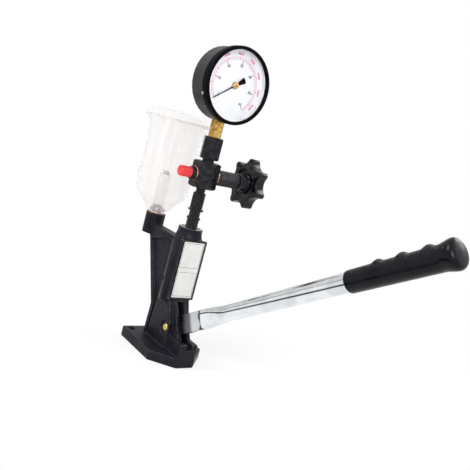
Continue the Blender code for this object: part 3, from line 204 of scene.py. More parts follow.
# What a finish doesn't name for itself
plainFinish = dict(
    metallic=0, cloud=0.018, specular=0.5, specks=0.0, speckBand=(0.6, 0.7),
    edgeRadius=0.0004, edgeReach=0.3, depth=0.0001,
)
finishes = {
    # colours where dark, light and worn (on edges the worn colour is both wear and a painted highlight),
    # roughness, grain size, bump strength and what else differs
    "black oxide": ((0.004, 0.0037, 0.0055), (0.014, 0.013, 0.0175), (0.32, 0.32, 0.33), (0.24, 0.36),
        0.0009, 0.2, {"metallic": 0.4, "specular": 0.28, "cloud": 0.006, "specks": 0.28}),
    "case paint": ((0.0075, 0.0068, 0.0095), (0.0145, 0.0135, 0.018), (0.09, 0.09, 0.095), (0.38, 0.48),
        0.0006, 0.15, {"specular": 0.32}),
    "bezel paint": ((0.0013, 0.0012, 0.002), (0.0028, 0.0026, 0.004), (0.02, 0.02, 0.02), (0.42, 0.5),
        0.0009, 0.05, {"specular": 0.04}),
    "knob plastic": ((0.002, 0.0018, 0.0034), (0.0045, 0.0042, 0.0072), (0.03, 0.03, 0.03), (0.1, 0.18),
        0.004, 0.05, {"specular": 0.3}),
    "grip vinyl": ((0.0016, 0.0014, 0.0028), (0.0036, 0.0033, 0.006), (0.015, 0.015, 0.015), (0.2, 0.3),
        0.0008, 0.08, {"specular": 0.17}),
    "oiled steel": ((0.003, 0.003, 0.0035), (0.012, 0.012, 0.013), (0.4, 0.4, 0.42), (0.08, 0.18),
        0.0012, 0.25, {"metallic": 0.45, "specular": 0.45, "cloud": 0.004}),
    "plain steel": ((0.42, 0.42, 0.43), (0.56, 0.56, 0.57), (0.7, 0.7, 0.7), (0.2, 0.32),
        0.0005, 0.1, {"metallic": 1}),
    "yellow zinc": ((0.55, 0.42, 0.09), (0.82, 0.68, 0.22), (0.85, 0.8, 0.55), (0.24, 0.4),
        0.001, 0.12, {"metallic": 1}),
    "blade zinc with painted shade": ((0.6, 0.63, 0.66), (0.76, 0.78, 0.8), (0.85, 0.86, 0.88), (0.24, 0.36),
        0.0007, 0.1, {"metallic": 1}),
    "boss brass": ((0.62, 0.27, 0.07), (0.86, 0.48, 0.18), (0.95, 0.7, 0.4), (0.25, 0.35),
        0.0009, 0.1, {"metallic": 1}),
    "brass": ((0.5, 0.27, 0.05), (0.86, 0.56, 0.18), (0.97, 0.85, 0.55), (0.1, 0.22),
        0.0009, 0.2, {"metallic": 1, "cloud": 0.005}),
    "copper": ((0.5, 0.22, 0.15), (0.85, 0.48, 0.38), (0.9, 0.6, 0.5), (0.28, 0.42),
        0.0006, 0.12, {"metallic": 1}),
    "red cap": ((0.56, 0.018, 0.022), (0.74, 0.036, 0.042), (0.85, 0.14, 0.13), (0.32, 0.46),
        0.0008, 0.15, {}),
    "smoky cap": ((0.3, 0.29, 0.28), (0.48, 0.47, 0.46), (0.35, 0.34, 0.33), (0.4, 0.5),
        0.0008, 0.08, {}),
    "packing fibre": ((0.42, 0.4, 0.34), (0.62, 0.6, 0.54), (0.66, 0.64, 0.6), (0.8, 0.9),
        0.0006, 0.6, {}),
    "dial enamel": ((0.86, 0.865, 0.9), (0.91, 0.915, 0.94), (0.93, 0.93, 0.95), (0.5, 0.6),
        0.0007, 0.03, {"specular": 0.3}),
    "label film": ((0.61, 0.61, 0.59), (0.67, 0.67, 0.65), (0.86, 0.86, 0.84), (0.36, 0.46),
        0.001, 0.05, {}),
    "black print": ((0.012, 0.012, 0.013), (0.025, 0.025, 0.028), (0.05, 0.05, 0.05), (0.45, 0.55),
        0.0005, 0.05, {}),
    "red print": ((0.66, 0.07, 0.2), (0.76, 0.14, 0.28), (0.8, 0.3, 0.4), (0.45, 0.55),
        0.0005, 0.05, {}),
    "shaded bore": ((0.012, 0.012, 0.014), (0.05, 0.05, 0.055), (0.06, 0.06, 0.06), (0.5, 0.7),
        0.0008, 0.1, {"specular": 0.2}),
}


def plainMaterials():
    for name, (dark, light, worn, rough, size, strength, others) in finishes.items():
        spec = {**plainFinish, "strength": strength, **others}
        tree, shader = startMaterial(name, Metallic=spec["metallic"], Specular_IOR_Level=spec["specular"])
        grain = useGroup(tree, "grain", Size=size, Cloud_Size=spec["cloud"])
        edges = useGroup(tree, "wornEdgesAndHighlights", Radius=spec["edgeRadius"], Reach=spec["edgeReach"])["Mask"]
        specks = between(tree, grain["Height"], *spec["speckBand"], 0.0, spec["specks"])
        colour = mixColour(tree, grain["Cloud"], dark, light)
        # the worn colour on specks and edges; on edges it is also a painted highlight
        for mask in (specks, edges):
            colour = mixColour(tree, mask, colour, worn)
        roughness = between(tree, grain["Cloud"], 0.0, 1.0, *rough)
        finishShader(tree, shader, spec, colour, roughness, grain["Height"])


# The worn colour on the ridges is both wear and a painted highlight along the casting's edges
castEnamel = dict(
    dark=(0.0055, 0.0053, 0.0088), light=(0.012, 0.0116, 0.0175), worn=(0.17, 0.17, 0.175),
    bareIron=(0.55, 0.55, 0.55), bareAbove=0.17655, specular=0.12, rough=(0.3, 0.44),
    pitSize=0.0011, pitCloud=0.03, waveSize=0.006, waveCloud=0.09, waveShare=2.5,
    wornStart=0.52, wornEnd=0.585, strength=0.35, depth=0.0003,
)


def castMaterial():
    spec = castEnamel
    tree, shader = startMaterial("cast enamel", Specular_IOR_Level=spec["specular"])
    pits = useGroup(tree, "grain", Size=spec["pitSize"], Cloud_Size=spec["pitCloud"])
    wave = useGroup(tree, "grain", Size=spec["waveSize"], Cloud_Size=spec["waveCloud"])
    worn = useGroup(tree, "wornRidgesAndHighlights", Start=spec["wornStart"], End=spec["wornEnd"])["Mask"]
    level = addNode(tree, "SeparateXYZ", {0: objectCoords(tree)}).outputs["Z"]
    bare = mathNode(tree, "GREATER_THAN", level, spec["bareAbove"])
    paint = mixColour(tree, pits["Cloud"], spec["dark"], spec["light"])
    # ridges turn lighter: wear, and a painted highlight along the edges
    paint = mixColour(tree, worn, paint, spec["worn"])
    paint = mixColour(tree, bare, paint, spec["bareIron"])
    plug(tree, shader["Metallic"], bare)
    roughness = between(tree, wave["Cloud"], 0.0, 1.0, *spec["rough"])
    height = mathNode(tree, "MULTIPLY_ADD", wave["Height"], spec["waveShare"], pits["Height"])
    finishShader(tree, shader, spec, paint, roughness, height)


zincPlate = dict(
    dark=(0.66, 0.69, 0.71), light=(0.84, 0.86, 0.88), streak=(0.45, 0.47, 0.5), streakShare=0.2,
    worn=(0.9, 0.9, 0.92), edgeRadius=0.0006, edgeReach=0.25, lineSize=0.0011,
    lineStretch=(28, 1, 1), cloud=0.025, streakBand=(0.52, 0.7), roughBand=(0.35, 0.65),
    rough=(0.07, 0.15), strength=0.05, depth=0.0002,
)


def zincMaterial():
    spec = zincPlate
    tree, shader = startMaterial("bright zinc", Metallic=1.0)
    lines = useGroup(tree, "grain", Size=spec["lineSize"], Stretch=spec["lineStretch"],
                     Cloud_Size=spec["cloud"])
    worn = useGroup(tree, "wornEdgesAndHighlights", Radius=spec["edgeRadius"], Reach=spec["edgeReach"])["Mask"]
    streak = between(tree, lines["Height"], *spec["streakBand"], 0.0, spec["streakShare"])
    plate = mixColour(tree, lines["Cloud"], spec["dark"], spec["light"])
    plate = mixColour(tree, streak, plate, spec["streak"])
    plate = mixColour(tree, worn, plate, spec["worn"])
    roughness = between(tree, lines["Height"], *spec["roughBand"], *spec["rough"])
    finishShader(tree, shader, spec, plate, roughness, lines["Height"])


# Painted shade on the blade, at distances along the lever from its pivot: a swaying dark line painted where
# the tube's mouth closes round it, and painted shade on the part between the cheeks
bladePaintedShade = dict(
    lineStart=0.061, lineEnd=0.0655, lineDark=0.96, sway=0.0017, waves=330.0,
    slotStart=0.041, slotEnd=0.0485, slotDark=0.8, colour=(0.015, 0.017, 0.024),
)


def shadeBlade():
    spec = bladePaintedShade
    tree = materials["blade zinc with painted shade"].node_tree
    socket = tree.nodes["Principled BSDF"].inputs["Base Color"]
    away = {0: objectCoords(tree), 1: leverPivot}
    offset = addNode(tree, "VectorMath", away, operation="SUBTRACT").outputs[0]
    along = dot(tree, offset, (cos(leverRise), 0, sin(leverRise)))
    across = dot(tree, offset, (-sin(leverRise), 0, cos(leverRise)))
    wave = mathNode(tree, "SINE", mathNode(tree, "MULTIPLY", across, spec["waves"]))
    swaying = mathNode(tree, "MULTIPLY_ADD", wave, spec["sway"], along)
    # painted shade: the dark line at the tube's mouth and the darker part between the cheeks
    line = between(tree, swaying, spec["lineStart"], spec["lineEnd"], 0.0, spec["lineDark"])
    slot = between(tree, along, spec["slotEnd"], spec["slotStart"], 0.0, spec["slotDark"])
    plain = socket.links[0].from_socket
    plug(tree, socket, mixColour(tree, mathNode(tree, "MAXIMUM", line, slot), plain, spec["colour"]))


milkyPlastic = dict(
    clear=(0.965, 0.958, 0.954), cloudy=(0.915, 0.902, 0.897), rough=(0.2, 0.26),
    bend=1.03, through=0.9, flowSize=0.006, flowStretch=(1, 1, 20), cloud=0.03,
    hazeBand=(0.3, 0.72), strength=0.01, depth=0.0001,
)


def milkyMaterial():
    spec = milkyPlastic
    tree, shader = startMaterial("milky plastic", IOR=spec["bend"], Transmission_Weight=spec["through"])
    flow = useGroup(tree, "grain", Size=spec["flowSize"], Stretch=spec["flowStretch"],
                    Cloud_Size=spec["cloud"])
    haze = between(tree, flow["Height"], *spec["hazeBand"])
    colour = mixColour(tree, haze, spec["clear"], spec["cloudy"])
    roughness = between(tree, flow["Cloud"], 0.0, 1.0, *spec["rough"])
    finishShader(tree, shader, spec, colour, roughness, flow["Height"])


clearGlass = dict(
    tinted=(0.97, 0.98, 0.985), clear=(1, 1, 1), bend=1.1, rough=(0.0, 0.03),
    smearSize=0.02, cloud=0.05, smearBand=(0.3, 0.8), strength=0.02, depth=0.0002,
)


def glassMaterial():
    spec = clearGlass
    tree, shader = startMaterial("gauge glass", IOR=spec["bend"], Transmission_Weight=1.0)
    smear = useGroup(tree, "grain", Size=spec["smearSize"], Cloud_Size=spec["cloud"])
    colour = mixColour(tree, smear["Cloud"], spec["tinted"], spec["clear"])
    roughness = between(tree, smear["Height"], *spec["smearBand"], *spec["rough"])
    finishShader(tree, shader, spec, colour, roughness, smear["Height"])


plainMaterials()
castMaterial()
zincMaterial()
shadeBlade()
milkyMaterial()
glassMaterial()
print("materials made:", len(materials))


meshValues = dict(weld=0.0000005, onAxis=0.000001, creaseAngle=35, filletSteps=4, cornerSteps=4)
replacedNodes = set()


def addObject(name, data):
    added = bpy.data.objects.new(name, data)
    bpy.context.scene.collection.objects.link(added)
    return added


def dress(mesh, finish):
    mesh.materials.clear()
    mesh.materials.append(materials[finish])
    mesh.shade_smooth()


def bakedMesh(holder):
    graph = bpy.context.evaluated_depsgraph_get()
    return bpy.data.meshes.new_from_object(holder.evaluated_get(graph))


def addPiece(name, mesh, finish, body, replaced=(), place=column,
             angle=meshValues["creaseAngle"]):
    mesh.name = name
    piece = addObject(name, mesh)
    piece.matrix_world = place
    replacedNodes.update(replaced)
    dress(mesh, finish)
    mesh.set_sharp_from_angle(angle=radians(angle))
    bpy.context.view_layer.update()
    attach(piece, body)
    if replaced:
        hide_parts(*replaced)
    return piece


def finishMesh(shape):
    bmesh.ops.remove_doubles(shape, verts=shape.verts, dist=meshValues["weld"])
    bmesh.ops.recalc_face_normals(shape, faces=shape.faces)
    mesh = bpy.data.meshes.new("mesh")
    shape.to_mesh(mesh)
    shape.free()
    return mesh


def skin(shape, rings, lining=0):
    for first, second in zip(rings, rings[1:]):
        for k in range(len(first)):
            j = (k + 1) % len(first)
            shape.faces.new((first[k], first[j], second[j], second[k])).material_index = lining


def addBox(shape, low, high, place):
    low, high = Vector(low), Vector(high)
    for vert in bmesh.ops.create_cube(shape, size=1)["verts"]:
        vert.co = place @ ((low + high) / 2 + vert.co * (high - low))


def ease(share):
    return share * share * (3 - 2 * share)


def rounded(points):
    path = []
    steps = meshValues["filletSteps"]
    for i, (radius, height, fillet) in enumerate(points):
        here = Vector((radius, height))
        if fillet == 0:
            path.append(here)
            continue
        before = (Vector(points[i - 1][:2]) - here).normalized()
        after = (Vector(points[(i + 1) % len(points)][:2]) - here).normalized()
        half = before.angle(after) / 2
        reach = fillet / tan(half)
        centre = here + (before + after).normalized() * (fillet / sin(half))
        start = here + before * reach - centre
        sweep = start.angle_signed(here + after * reach - centre)
        for k in range(steps + 1):
            path.append(centre + Matrix.Rotation(-sweep * k / steps, 2) @ start)
    return path


def spunMesh(path, steps, closed):
    shape = bmesh.new()
    turns = [2 * pi * k / steps for k in range(steps)]
    rings = []
    for radius, height in path:
        points = [(radius * cos(turn), radius * sin(turn), height) for turn in turns]
        if radius < meshValues["onAxis"]:
            points = [(0, 0, height)]
        rings.append([shape.verts.new(point) for point in points])
    pairs = list(zip(rings, rings[1:])) + ([(rings[-1], rings[0])] if closed else [])
    for first, second in pairs:
        if len(first) == len(second) == 1:
            continue
        for k in range(steps):
            j = (k + 1) % steps
            corners = [ring[i % len(ring)] for ring, i in ((first, k), (first, j), (second, j), (second, k))]
            shape.faces.new(list(dict.fromkeys(corners)))
    return finishMesh(shape)


def spunPiece(name, node, slot, finish, place, steps, points, body="base"):
    points = [(radius / 1000, height / 1000, fillet / 1000) for radius, height, fillet in points]
    closed = min(point[0] for point in points) > 0
    addPiece(name, spunMesh(rounded(points), steps, closed), finish, body, (node,), place)


castingValues = dict(voxel=0.0009, softening=0.5, rounds=3)


def makeCasting():
    mesh = cadNodes["body_casting"].data.copy()
    piece = addPiece("bodyCasting", mesh, "cast enamel", "base", ("body_casting",))
    remesh = piece.modifiers.new("casting skin", "REMESH")
    remesh.mode = "VOXEL"
    remesh.voxel_size = castingValues["voxel"]
    remesh.use_smooth_shade = True
    soften = piece.modifiers.new("soft edges", "SMOOTH")
    soften.factor = castingValues["softening"]
    soften.iterations = castingValues["rounds"]
    baked = bakedMesh(piece)
    piece.modifiers.clear()
    piece.data = baked
    dress(baked, "cast enamel")


makeCasting()


labelValues = dict(
    halfWidth=0.018, corner=0.0012, edge=0.00012, ink=0.00003, line=0.0004,
    # the white field's distances from the plate's edges
    fieldLeft=0.0006, fieldTop=0.0006, fieldRight=0.003, fieldLow=0.002, fieldCorner=0.0006,
    # the two frames on the field: their margin, and top and bottom as shares of its height
    margin=0.0009, frames=((0.02, 0.46), (0.54, 0.975)),
)


def plateMesh(sides, depths, corner, edge):
    left, low, right, high = sides
    back, front = depths
    middleY, middleZ = (left + right) / 2, (low + high) / 2
    outline = []
    for y, z, start in ((right - corner, high - corner, 0), (left + corner, high - corner, 90),
                        (left + corner, low + corner, 180), (right - corner, low + corner, 270)):
        for k in range(meshValues["cornerSteps"] + 1):
            turn = radians(start + 90 * k / meshValues["cornerSteps"])
            outline.append((y + corner * cos(turn), z + corner * sin(turn)))
    shape = bmesh.new()
    layers = []
    for x, inset in ((back, 0), (front - edge, 0), (front, edge)):
        layers.append([shape.verts.new((x, y - copysign(inset, y - middleY),
                                        z - copysign(inset, z - middleZ))) for y, z in outline])
    skin(shape, layers)
    shape.faces.new(layers[0])
    shape.faces.new(layers[-1])
    return finishMesh(shape)


def frameLines(frames, line, thickness, place):
    shape = bmesh.new()
    for left, low, right, high in frames:
        for a, b, c, d in ((left, low, right, low + line), (left, high - line, right, high),
                           (left, low + line, left + line, high - line),
                           (right - line, low + line, right, high - line)):
            addBox(shape, (a, b, 0), (c, d, thickness), place)
    return finishMesh(shape)


def makeLabel():
    low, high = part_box("label_plate")
    spec = labelValues
    half, ink, margin = spec["halfWidth"], spec["ink"], spec["margin"]
    plate = plateMesh((-half, low.z, half, high.z), (low.x, high.x), spec["corner"], spec["edge"])
    addPiece("labelPlate", plate, "black print", "base", ("label_plate",))
    left, bottom = -half + spec["fieldLeft"], low.z + spec["fieldLow"]
    right, top = half - spec["fieldRight"], high.z - spec["fieldTop"]
    field = plateMesh((left, bottom, right, top), (high.x, high.x + ink), spec["fieldCorner"], ink / 2)
    addPiece("labelField", field, "label film", "base", ())
    frames = [(left + margin, top - (top - bottom) * end, right - margin, top - (top - bottom) * start)
              for start, end in spec["frames"]]
    place = Matrix.Translation((high.x + ink, 0, 0)) @ page
    lines = frameLines(frames, spec["line"], ink, place)
    addPiece("labelFrames", lines, "black print", "base", ())


makeLabel()
print("label done")


tubeValues = dict(
    start=0.073, roundStart=0.122, end=0.425, rings=(0.2, 0.3), radius=0.0103,
    wall=0.0016, lip=0.0003, sides=64,
    # the mouth is a rounded rectangle that turns into the round tube
    mouthHalfHeight=0.0126, mouthHalfWidth=0.0084, squareness=4.6, fade=0.7, steps=18,
)
gripValues = dict(
    start=0.311, end=0.430, step=0.0012, sides=72, radius=0.0118, taper=0.0006,
    # the finger bumps along the top: middles, half length, height, and how steep they are along and across
    bumps=(0.3474, 0.3744, 0.4014), bumpHalf=0.0074, bump=0.0027, along=0.9, across=1.6,
    flange=0.0017, flangeStart=0.411, flangeEnd=0.424, flangeTop=0.00102,
    lip=0.0009, lipSteps=4, endRound=0.0052, endSteps=6, endDome=0.0006,
    domeShares=(0.7, 0.4, 0.15), bore=0.0106, boreEnd=0.4263, creaseAngle=60,
)


def loftMesh(outer, inner, blind):
    shape = bmesh.new()
    outer, inner = ([[shape.verts.new(point) for point in ring] for ring in rings]
                    for rings in (outer, inner))
    for lining, rings in enumerate((outer, inner)):
        skin(shape, rings, lining)
    skin(shape, (outer[0], inner[0]))
    if not blind:
        skin(shape, (outer[-1], inner[-1]))
        return finishMesh(shape)
    for ring in (outer[-1], inner[-1]):
        tip = shape.verts.new(sum((vert.co for vert in ring), Vector()) / len(ring))
        for k in range(len(ring)):
            shape.faces.new((ring[k], ring[(k + 1) % len(ring)], tip))
    return finishMesh(shape)


def ovalRing(x, halfWidth, halfHeight, power, sides):
    points = []
    for k in range(sides):
        turn = 2 * pi * k / sides
        c, s = cos(turn), sin(turn)
        scale = (abs(c) ** power + abs(s) ** power) ** (-1 / power)
        points.append((x, halfWidth * c * scale, halfHeight * s * scale))
    return points


def makeTube():
    spec = tubeValues
    radius, sides, lip, square = (spec[key] for key in ("radius", "sides", "lip", "squareness"))
    halfWidth, halfHeight = spec["mouthHalfWidth"], spec["mouthHalfHeight"]

    def stations(shrink):
        rings = []
        for i in range(spec["steps"] + 1):
            share = i / spec["steps"]
            x = spec["start"] + (spec["roundStart"] - spec["start"]) * share
            across = halfWidth + (radius - halfWidth) * ease(share) - shrink
            upward = halfHeight + (radius - halfHeight) * ease(share) - shrink
            rings.append(ovalRing(x, across, upward, square + (2 - square) * share ** spec["fade"], sides))
        for x in (*spec["rings"], spec["end"]):
            rings.append(ovalRing(x, radius - shrink, radius - shrink, 2, sides))
        return rings

    edge = [ovalRing(spec["start"], halfWidth - lip, halfHeight - lip, square, sides),
            ovalRing(spec["start"] + lip, halfWidth, halfHeight, square, sides)]
    mesh = loftMesh(edge + stations(0)[1:], stations(spec["wall"]), False)
    addPiece("leverTube", mesh, "bright zinc", "lever", ("lever_tube",), leverAxis)
    mesh.materials.append(materials["shaded bore"])


def makeGrip():
    spec = gripValues
    first, last, lip, end = (spec[key] for key in ("start", "end", "lip", "endRound"))

    def profile(x):
        share = (x - spec["flangeStart"]) / (spec["flangeEnd"] - spec["flangeStart"])
        rise = min(1, max(0, share))
        radius = spec["radius"] + spec["taper"] * (x - first) / (last - first)
        radius += spec["flange"] * ease(rise)
        bump = spec["flangeTop"] * rise
        for middle in spec["bumps"]:
            away = abs(x - middle) / spec["bumpHalf"]
            if away < 1:
                bump += spec["bump"] * (0.5 + 0.5 * cos(pi * away)) ** spec["along"]
        return radius, bump

    def ring(x, radius, bump):
        points = []
        for k in range(spec["sides"]):
            turn = 2 * pi * k / spec["sides"]
            rise = bump * max(0, sin(turn)) ** spec["across"]
            points.append((x, radius * cos(turn), radius * sin(turn) + rise))
        return points

    outer = []
    for k in range(spec["lipSteps"] + 1):
        turn = quarter * k / spec["lipSteps"]
        radius = spec["radius"] - lip * (1 - sin(turn))
        outer.append(ring(first + lip * (1 - cos(turn)), radius, 0))
    x = first + lip
    stop = last - spec["endDome"] - end
    while x + spec["step"] < stop:
        x += spec["step"]
        outer.append(ring(x, *profile(x)))
    radius, bump = profile(stop)
    for k in range(spec["endSteps"] + 1):
        turn = quarter * k / spec["endSteps"]
        outer.append(ring(stop + end * sin(turn), radius - end * (1 - cos(turn)),
                          bump * cos(turn)))
    for share in spec["domeShares"]:
        outer.append(ring(last - spec["endDome"] * share ** 2, (radius - end) * share, 0))
    inner = [ring(first, spec["bore"], 0), ring(spec["boreEnd"], spec["bore"], 0)]
    addPiece("leverGrip", loftMesh(outer, inner, True), "grip vinyl", "lever", ("lever_grip",),
             leverAxis, spec["creaseAngle"])


makeTube()
makeGrip()
print("lever done")


turnedPieces = {
    # each corner's radius, height along the axis and fillet are in millimetres
    "deliveryHolder": dict(node="delivery_holder", slot="black_steel", finish="oiled steel", place=column,
        steps=56, points=[(6.3, 243, 0.3), (6.3, 203.4, 0), (10.6, 203.4, 0.7), (10.6, 200.6, 0.7),
        (7.6, 200.6, 0.4), (7.6, 191.6, 0.4), (9.4, 191.6, 0.6), (9.4, 188.6, 0.6), (8.3, 188.6, 0),
        (8.3, 176.4, 0), (12, 176.4, 0), (12, 164.3, 0), (4.6, 164.3, 0), (4.6, 177.8, 0), (1.6, 177.8, 0),
        (1.6, 243, 0)]),
    "outletAdaptor": dict(node="outlet_adaptor", slot="black_steel", finish="black oxide", place=outletAxis,
        steps=48, points=[(6, 35.5, 0.4), (6, 24, 0), (8.8, 24, 0.9), (8.8, 18.3, 0.5), (5.3, 18.3, 0),
        (5.3, 8.3, 0), (1.8, 8.3, 0), (1.8, 35.5, 0)]),
    "outletPlug": dict(node="outlet_plug", slot="red_plastic", finish="red cap", body="plug",
        place=outletAxis, steps=48, points=[(0, 39.7, 0), (3, 39.7, 0.5), (3.9, 40.5, 0.5), (6.9, 40.5, 1.5),
        (7.5, 34, 2), (7.15, 29.5, 2), (7.5, 25.5, 0.8), (7.5, 24.3, 0.3), (6.3, 24.3, 0), (6.3, 35.8, 0),
        (0, 35.8, 0)]),
    "outletWasher": dict(node="outlet_washer", slot="copper", finish="copper", place=outletAxis, steps=48,
        points=[(9.3, 18, 0.4), (9.3, 16.8, 0.4), (5.6, 16.8, 0.2), (5.6, 18, 0.2)]),
    "bonnetWasher": dict(node="bonnet_washer", slot="copper", finish="copper", place=knobAxis, steps=48,
        points=[(10.6, 18, 0.4), (10.6, 16.8, 0.4), (7.6, 16.8, 0.2), (7.6, 18, 0.2)]),
    "reservoirWasher": dict(node="reservoir_washer", slot="copper", finish="copper", place=bossAxis,
        steps=56, points=[(12.99, 1.5, 0.4), (12.99, 0.3, 0.4), (7, 0.3, 0.2), (7, 1.5, 0.2)]),
    "pivotPin": dict(node="pivot_pin", slot="yellow_zinc", finish="yellow zinc", place=pinAxis, steps=40,
        points=[(0, 13.4, 0), (1.3, 14, 0.3), (2.2, 14.4, 0.3), (4.2, 14.4, 0.4), (5, 13.6, 0.4),
        (5, -13.6, 0.4), (4.2, -14.4, 0.4), (2.2, -14.4, 0.3), (1.3, -14, 0.3), (0, -13.4, 0)]),
    "gaugeBezel": dict(node="gauge_bezel", slot="black_plastic", finish="bezel paint", place=gaugeAxis,
        steps=120, points=[(45.5, 26, 0.9), (50, 26, 1.9), (50, 15, 0.6), (48.8, 15, 0), (48.8, 22.3, 0),
        (45.5, 22.3, 0.3)]),
    "gaugeGlass": dict(node="gauge_glass", slot="gauge_glass", finish="gauge glass", place=gaugeAxis,
        steps=96, points=[(0, 22, 0), (48.3, 22, 0.3), (48.3, 20.3, 0.3), (0, 20.3, 0)]),
    "pointerBoss": dict(node="pointer_boss", slot="brass", finish="boss brass", body="pointer",
        place=gaugeAxis, steps=40, points=[(4.2, 18.5, 0.3), (4.2, 17.7, 0), (2, 17.7, 0), (2, 15.2, 0),
        (1.3, 15.2, 0), (1.3, 19.3, 0.2), (2.4, 19.3, 0.4)]),
    "strainerCap": dict(node="strainer_cap", slot="black_plastic", finish="smoky cap", place=bossAxis,
        steps=32, points=[(0, 64.1, 0), (5.2, 64.1, 1), (5.2, 60.1, 0.2), (3.7, 60.1, 0), (3.7, 58.3, 0),
        (0, 58.3, 0)]),
}


for name, spec in turnedPieces.items():
    spunPiece(name, **spec)
print("turned pieces done:", len(turnedPieces))


knobValues = dict(
    lobes=7, restTurn=radians(6.7), tip=0.0357, valley=0.0275, tipHalfWidth=0.0034,
    perLobe=32, softenings=2, start=0.0685, end=0.0835, edgeRound=0.0014, edgeSteps=5,
    creaseAngle=50,
    # radius and height in millimetres, from the bore out to the rim on one side and back on the other
    innerSide=((4.3, 55), (10.8, 55), (11.5, 55.3), (11.8, 56), (11.8, 67.8), (12.2, 68.4),
        (13, 68.5), (13.4, 68.8), (13.5, 69.6), (13.6, 72.9), (14.2, 73.5), (19.8, 73.5), (20.4, 72.9),
        (20.5, 69.6), (20.7, 68.8), (21.3, 68.5), (23, 68.5)),
    outerSide=((13.5, 83.5), (12.8, 83.3), (12, 82.9), (11, 82.9), (9.5, 83.5), (8.8, 83.3),
        (8.5, 82.9), (8.5, 80.1), (4.3, 80.1)),
)


def starOutline():
    spec = knobValues
    tip, valley, count = spec["tip"], spec["valley"], spec["lobes"] * spec["perLobe"]
    half = pi / spec["lobes"]
    tipTurn = asin(spec["tipHalfWidth"] / tip)
    centre = (tip ** 2 - valley ** 2) / (2 * (tip * cos(half - tipTurn) - valley))
    radii = []
    for k in range(count):
        away = abs((k / spec["perLobe"] + 0.5) % 1 - 0.5) * 2 * half
        across = centre * sin(half - away)
        hollow = centre * cos(half - away) - sqrt(max(0, (centre - valley) ** 2 - across ** 2))
        radii.append(tip if away < tipTurn else hollow)
    for _ in range(spec["softenings"]):
        radii = [(radii[k - 1] + 2 * radii[k] + radii[(k + 1) % count]) / 4 for k in range(count)]
    turns = [spec["restTurn"] + 2 * pi * k / count for k in range(count)]
    return [Vector((-radius * cos(turn), radius * sin(turn))) for radius, turn in zip(radii, turns)]


def makeKnob():
    spec = knobValues
    outline = starOutline()
    normals = []
    for k, point in enumerate(outline):
        along = outline[(k + 1) % len(outline)] - outline[k - 1]
        outward = Vector((along.y, -along.x)).normalized()
        normals.append(outward if outward.dot(point) > 0 else -outward)
    shape = bmesh.new()

    def circle(radius, height):
        return [shape.verts.new((*(point.normalized() * radius / 1000), height / 1000)) for point in outline]

    def star(inset, height):
        return [shape.verts.new((*(point - normal * inset), height))
                for point, normal in zip(outline, normals)]

    edge, steps = spec["edgeRound"], spec["edgeSteps"]
    turns = [quarter * k / steps for k in range(steps + 1)]
    rings = [circle(*station) for station in spec["innerSide"]]
    rings += [star(edge * (1 - sin(t)), spec["start"] + edge * (1 - cos(t))) for t in turns]
    rings += [star(edge * (1 - cos(t)), spec["end"] - edge * (1 - sin(t))) for t in turns]
    rings += [circle(*station) for station in spec["outerSide"]]
    skin(shape, rings + rings[:1])
    addPiece("starKnob", finishMesh(shape), "knob plastic", "knob", ("star_knob",),
             knobAxis, spec["creaseAngle"])


makeKnob()
print("knob done")


dialValues = dict(
    face=0.0148, ink=0.00005, span=270.0, twist=7.5, arcWidth=0.00028, arcSteps=108,
    bold=0.00014, curveSteps=2,
)
# Each scale's last number and steps, its arcs' radii, and its ticks' inner end, outer end and width
dialScales = {
    "dialMarksBlack": dict(
        finish="black print", top=60, step=10, minor=2, zero=True, arcs=(), longTick=(0.0285, 0.033, 0.0007),
        shortTick=(0.0313, 0.033, 0.0002), numberRadius=0.0264, numberSize=0.0052, upright=True),
    "dialMarksRed": dict(
        finish="red print", top=8700, step=1000, minor=100, zero=False, arcs=(0.0333, 0.0359),
        longTick=(0.0335, 0.0373, 0.0007), shortTick=(0.0335, 0.0357, 0.0003), numberRadius=0.0402,
        numberSize=0.0046, upright=False),
}


def dialTurn(share):
    return radians(dialValues["twist"] - dialValues["span"] / 2 + dialValues["span"] * share)


def arcMesh(shape, radius):
    half, ink, steps = dialValues["arcWidth"] / 2, dialValues["ink"], dialValues["arcSteps"]
    section = ((radius - half, 0), (radius + half, 0), (radius + half, ink), (radius - half, ink))
    turns = [dialTurn(k / steps) for k in range(steps + 1)]
    rings = [[shape.verts.new((r * sin(turn), r * cos(turn), z)) for r, z in section]
             for turn in turns]
    skin(shape, rings)
    shape.faces.new(rings[0])
    shape.faces.new(rings[-1])


def numberMesh(shape, number, turn, spec):
    radius = spec["numberRadius"]
    curve = bpy.data.curves.new("number", "FONT")
    curve.body = str(number)
    curve.size = spec["numberSize"]
    curve.align_x = curve.align_y = "CENTER"
    curve.extrude = dialValues["ink"] / 2
    curve.offset = dialValues["bold"]
    curve.resolution_u = dialValues["curveSteps"]
    holder = addObject("number", curve)
    bpy.context.view_layer.update()
    mesh = bakedMesh(holder)
    spin = Matrix.Rotation(-radians(dialValues["twist"]) if spec["upright"] else -turn, 4, "Z")
    middle = Vector((radius * sin(turn), radius * cos(turn), dialValues["ink"] / 2))
    mesh.transform(Matrix.Translation(middle) @ spin)
    shape.from_mesh(mesh)
    bpy.data.objects.remove(holder, do_unlink=True)
    bpy.data.meshes.remove(mesh)


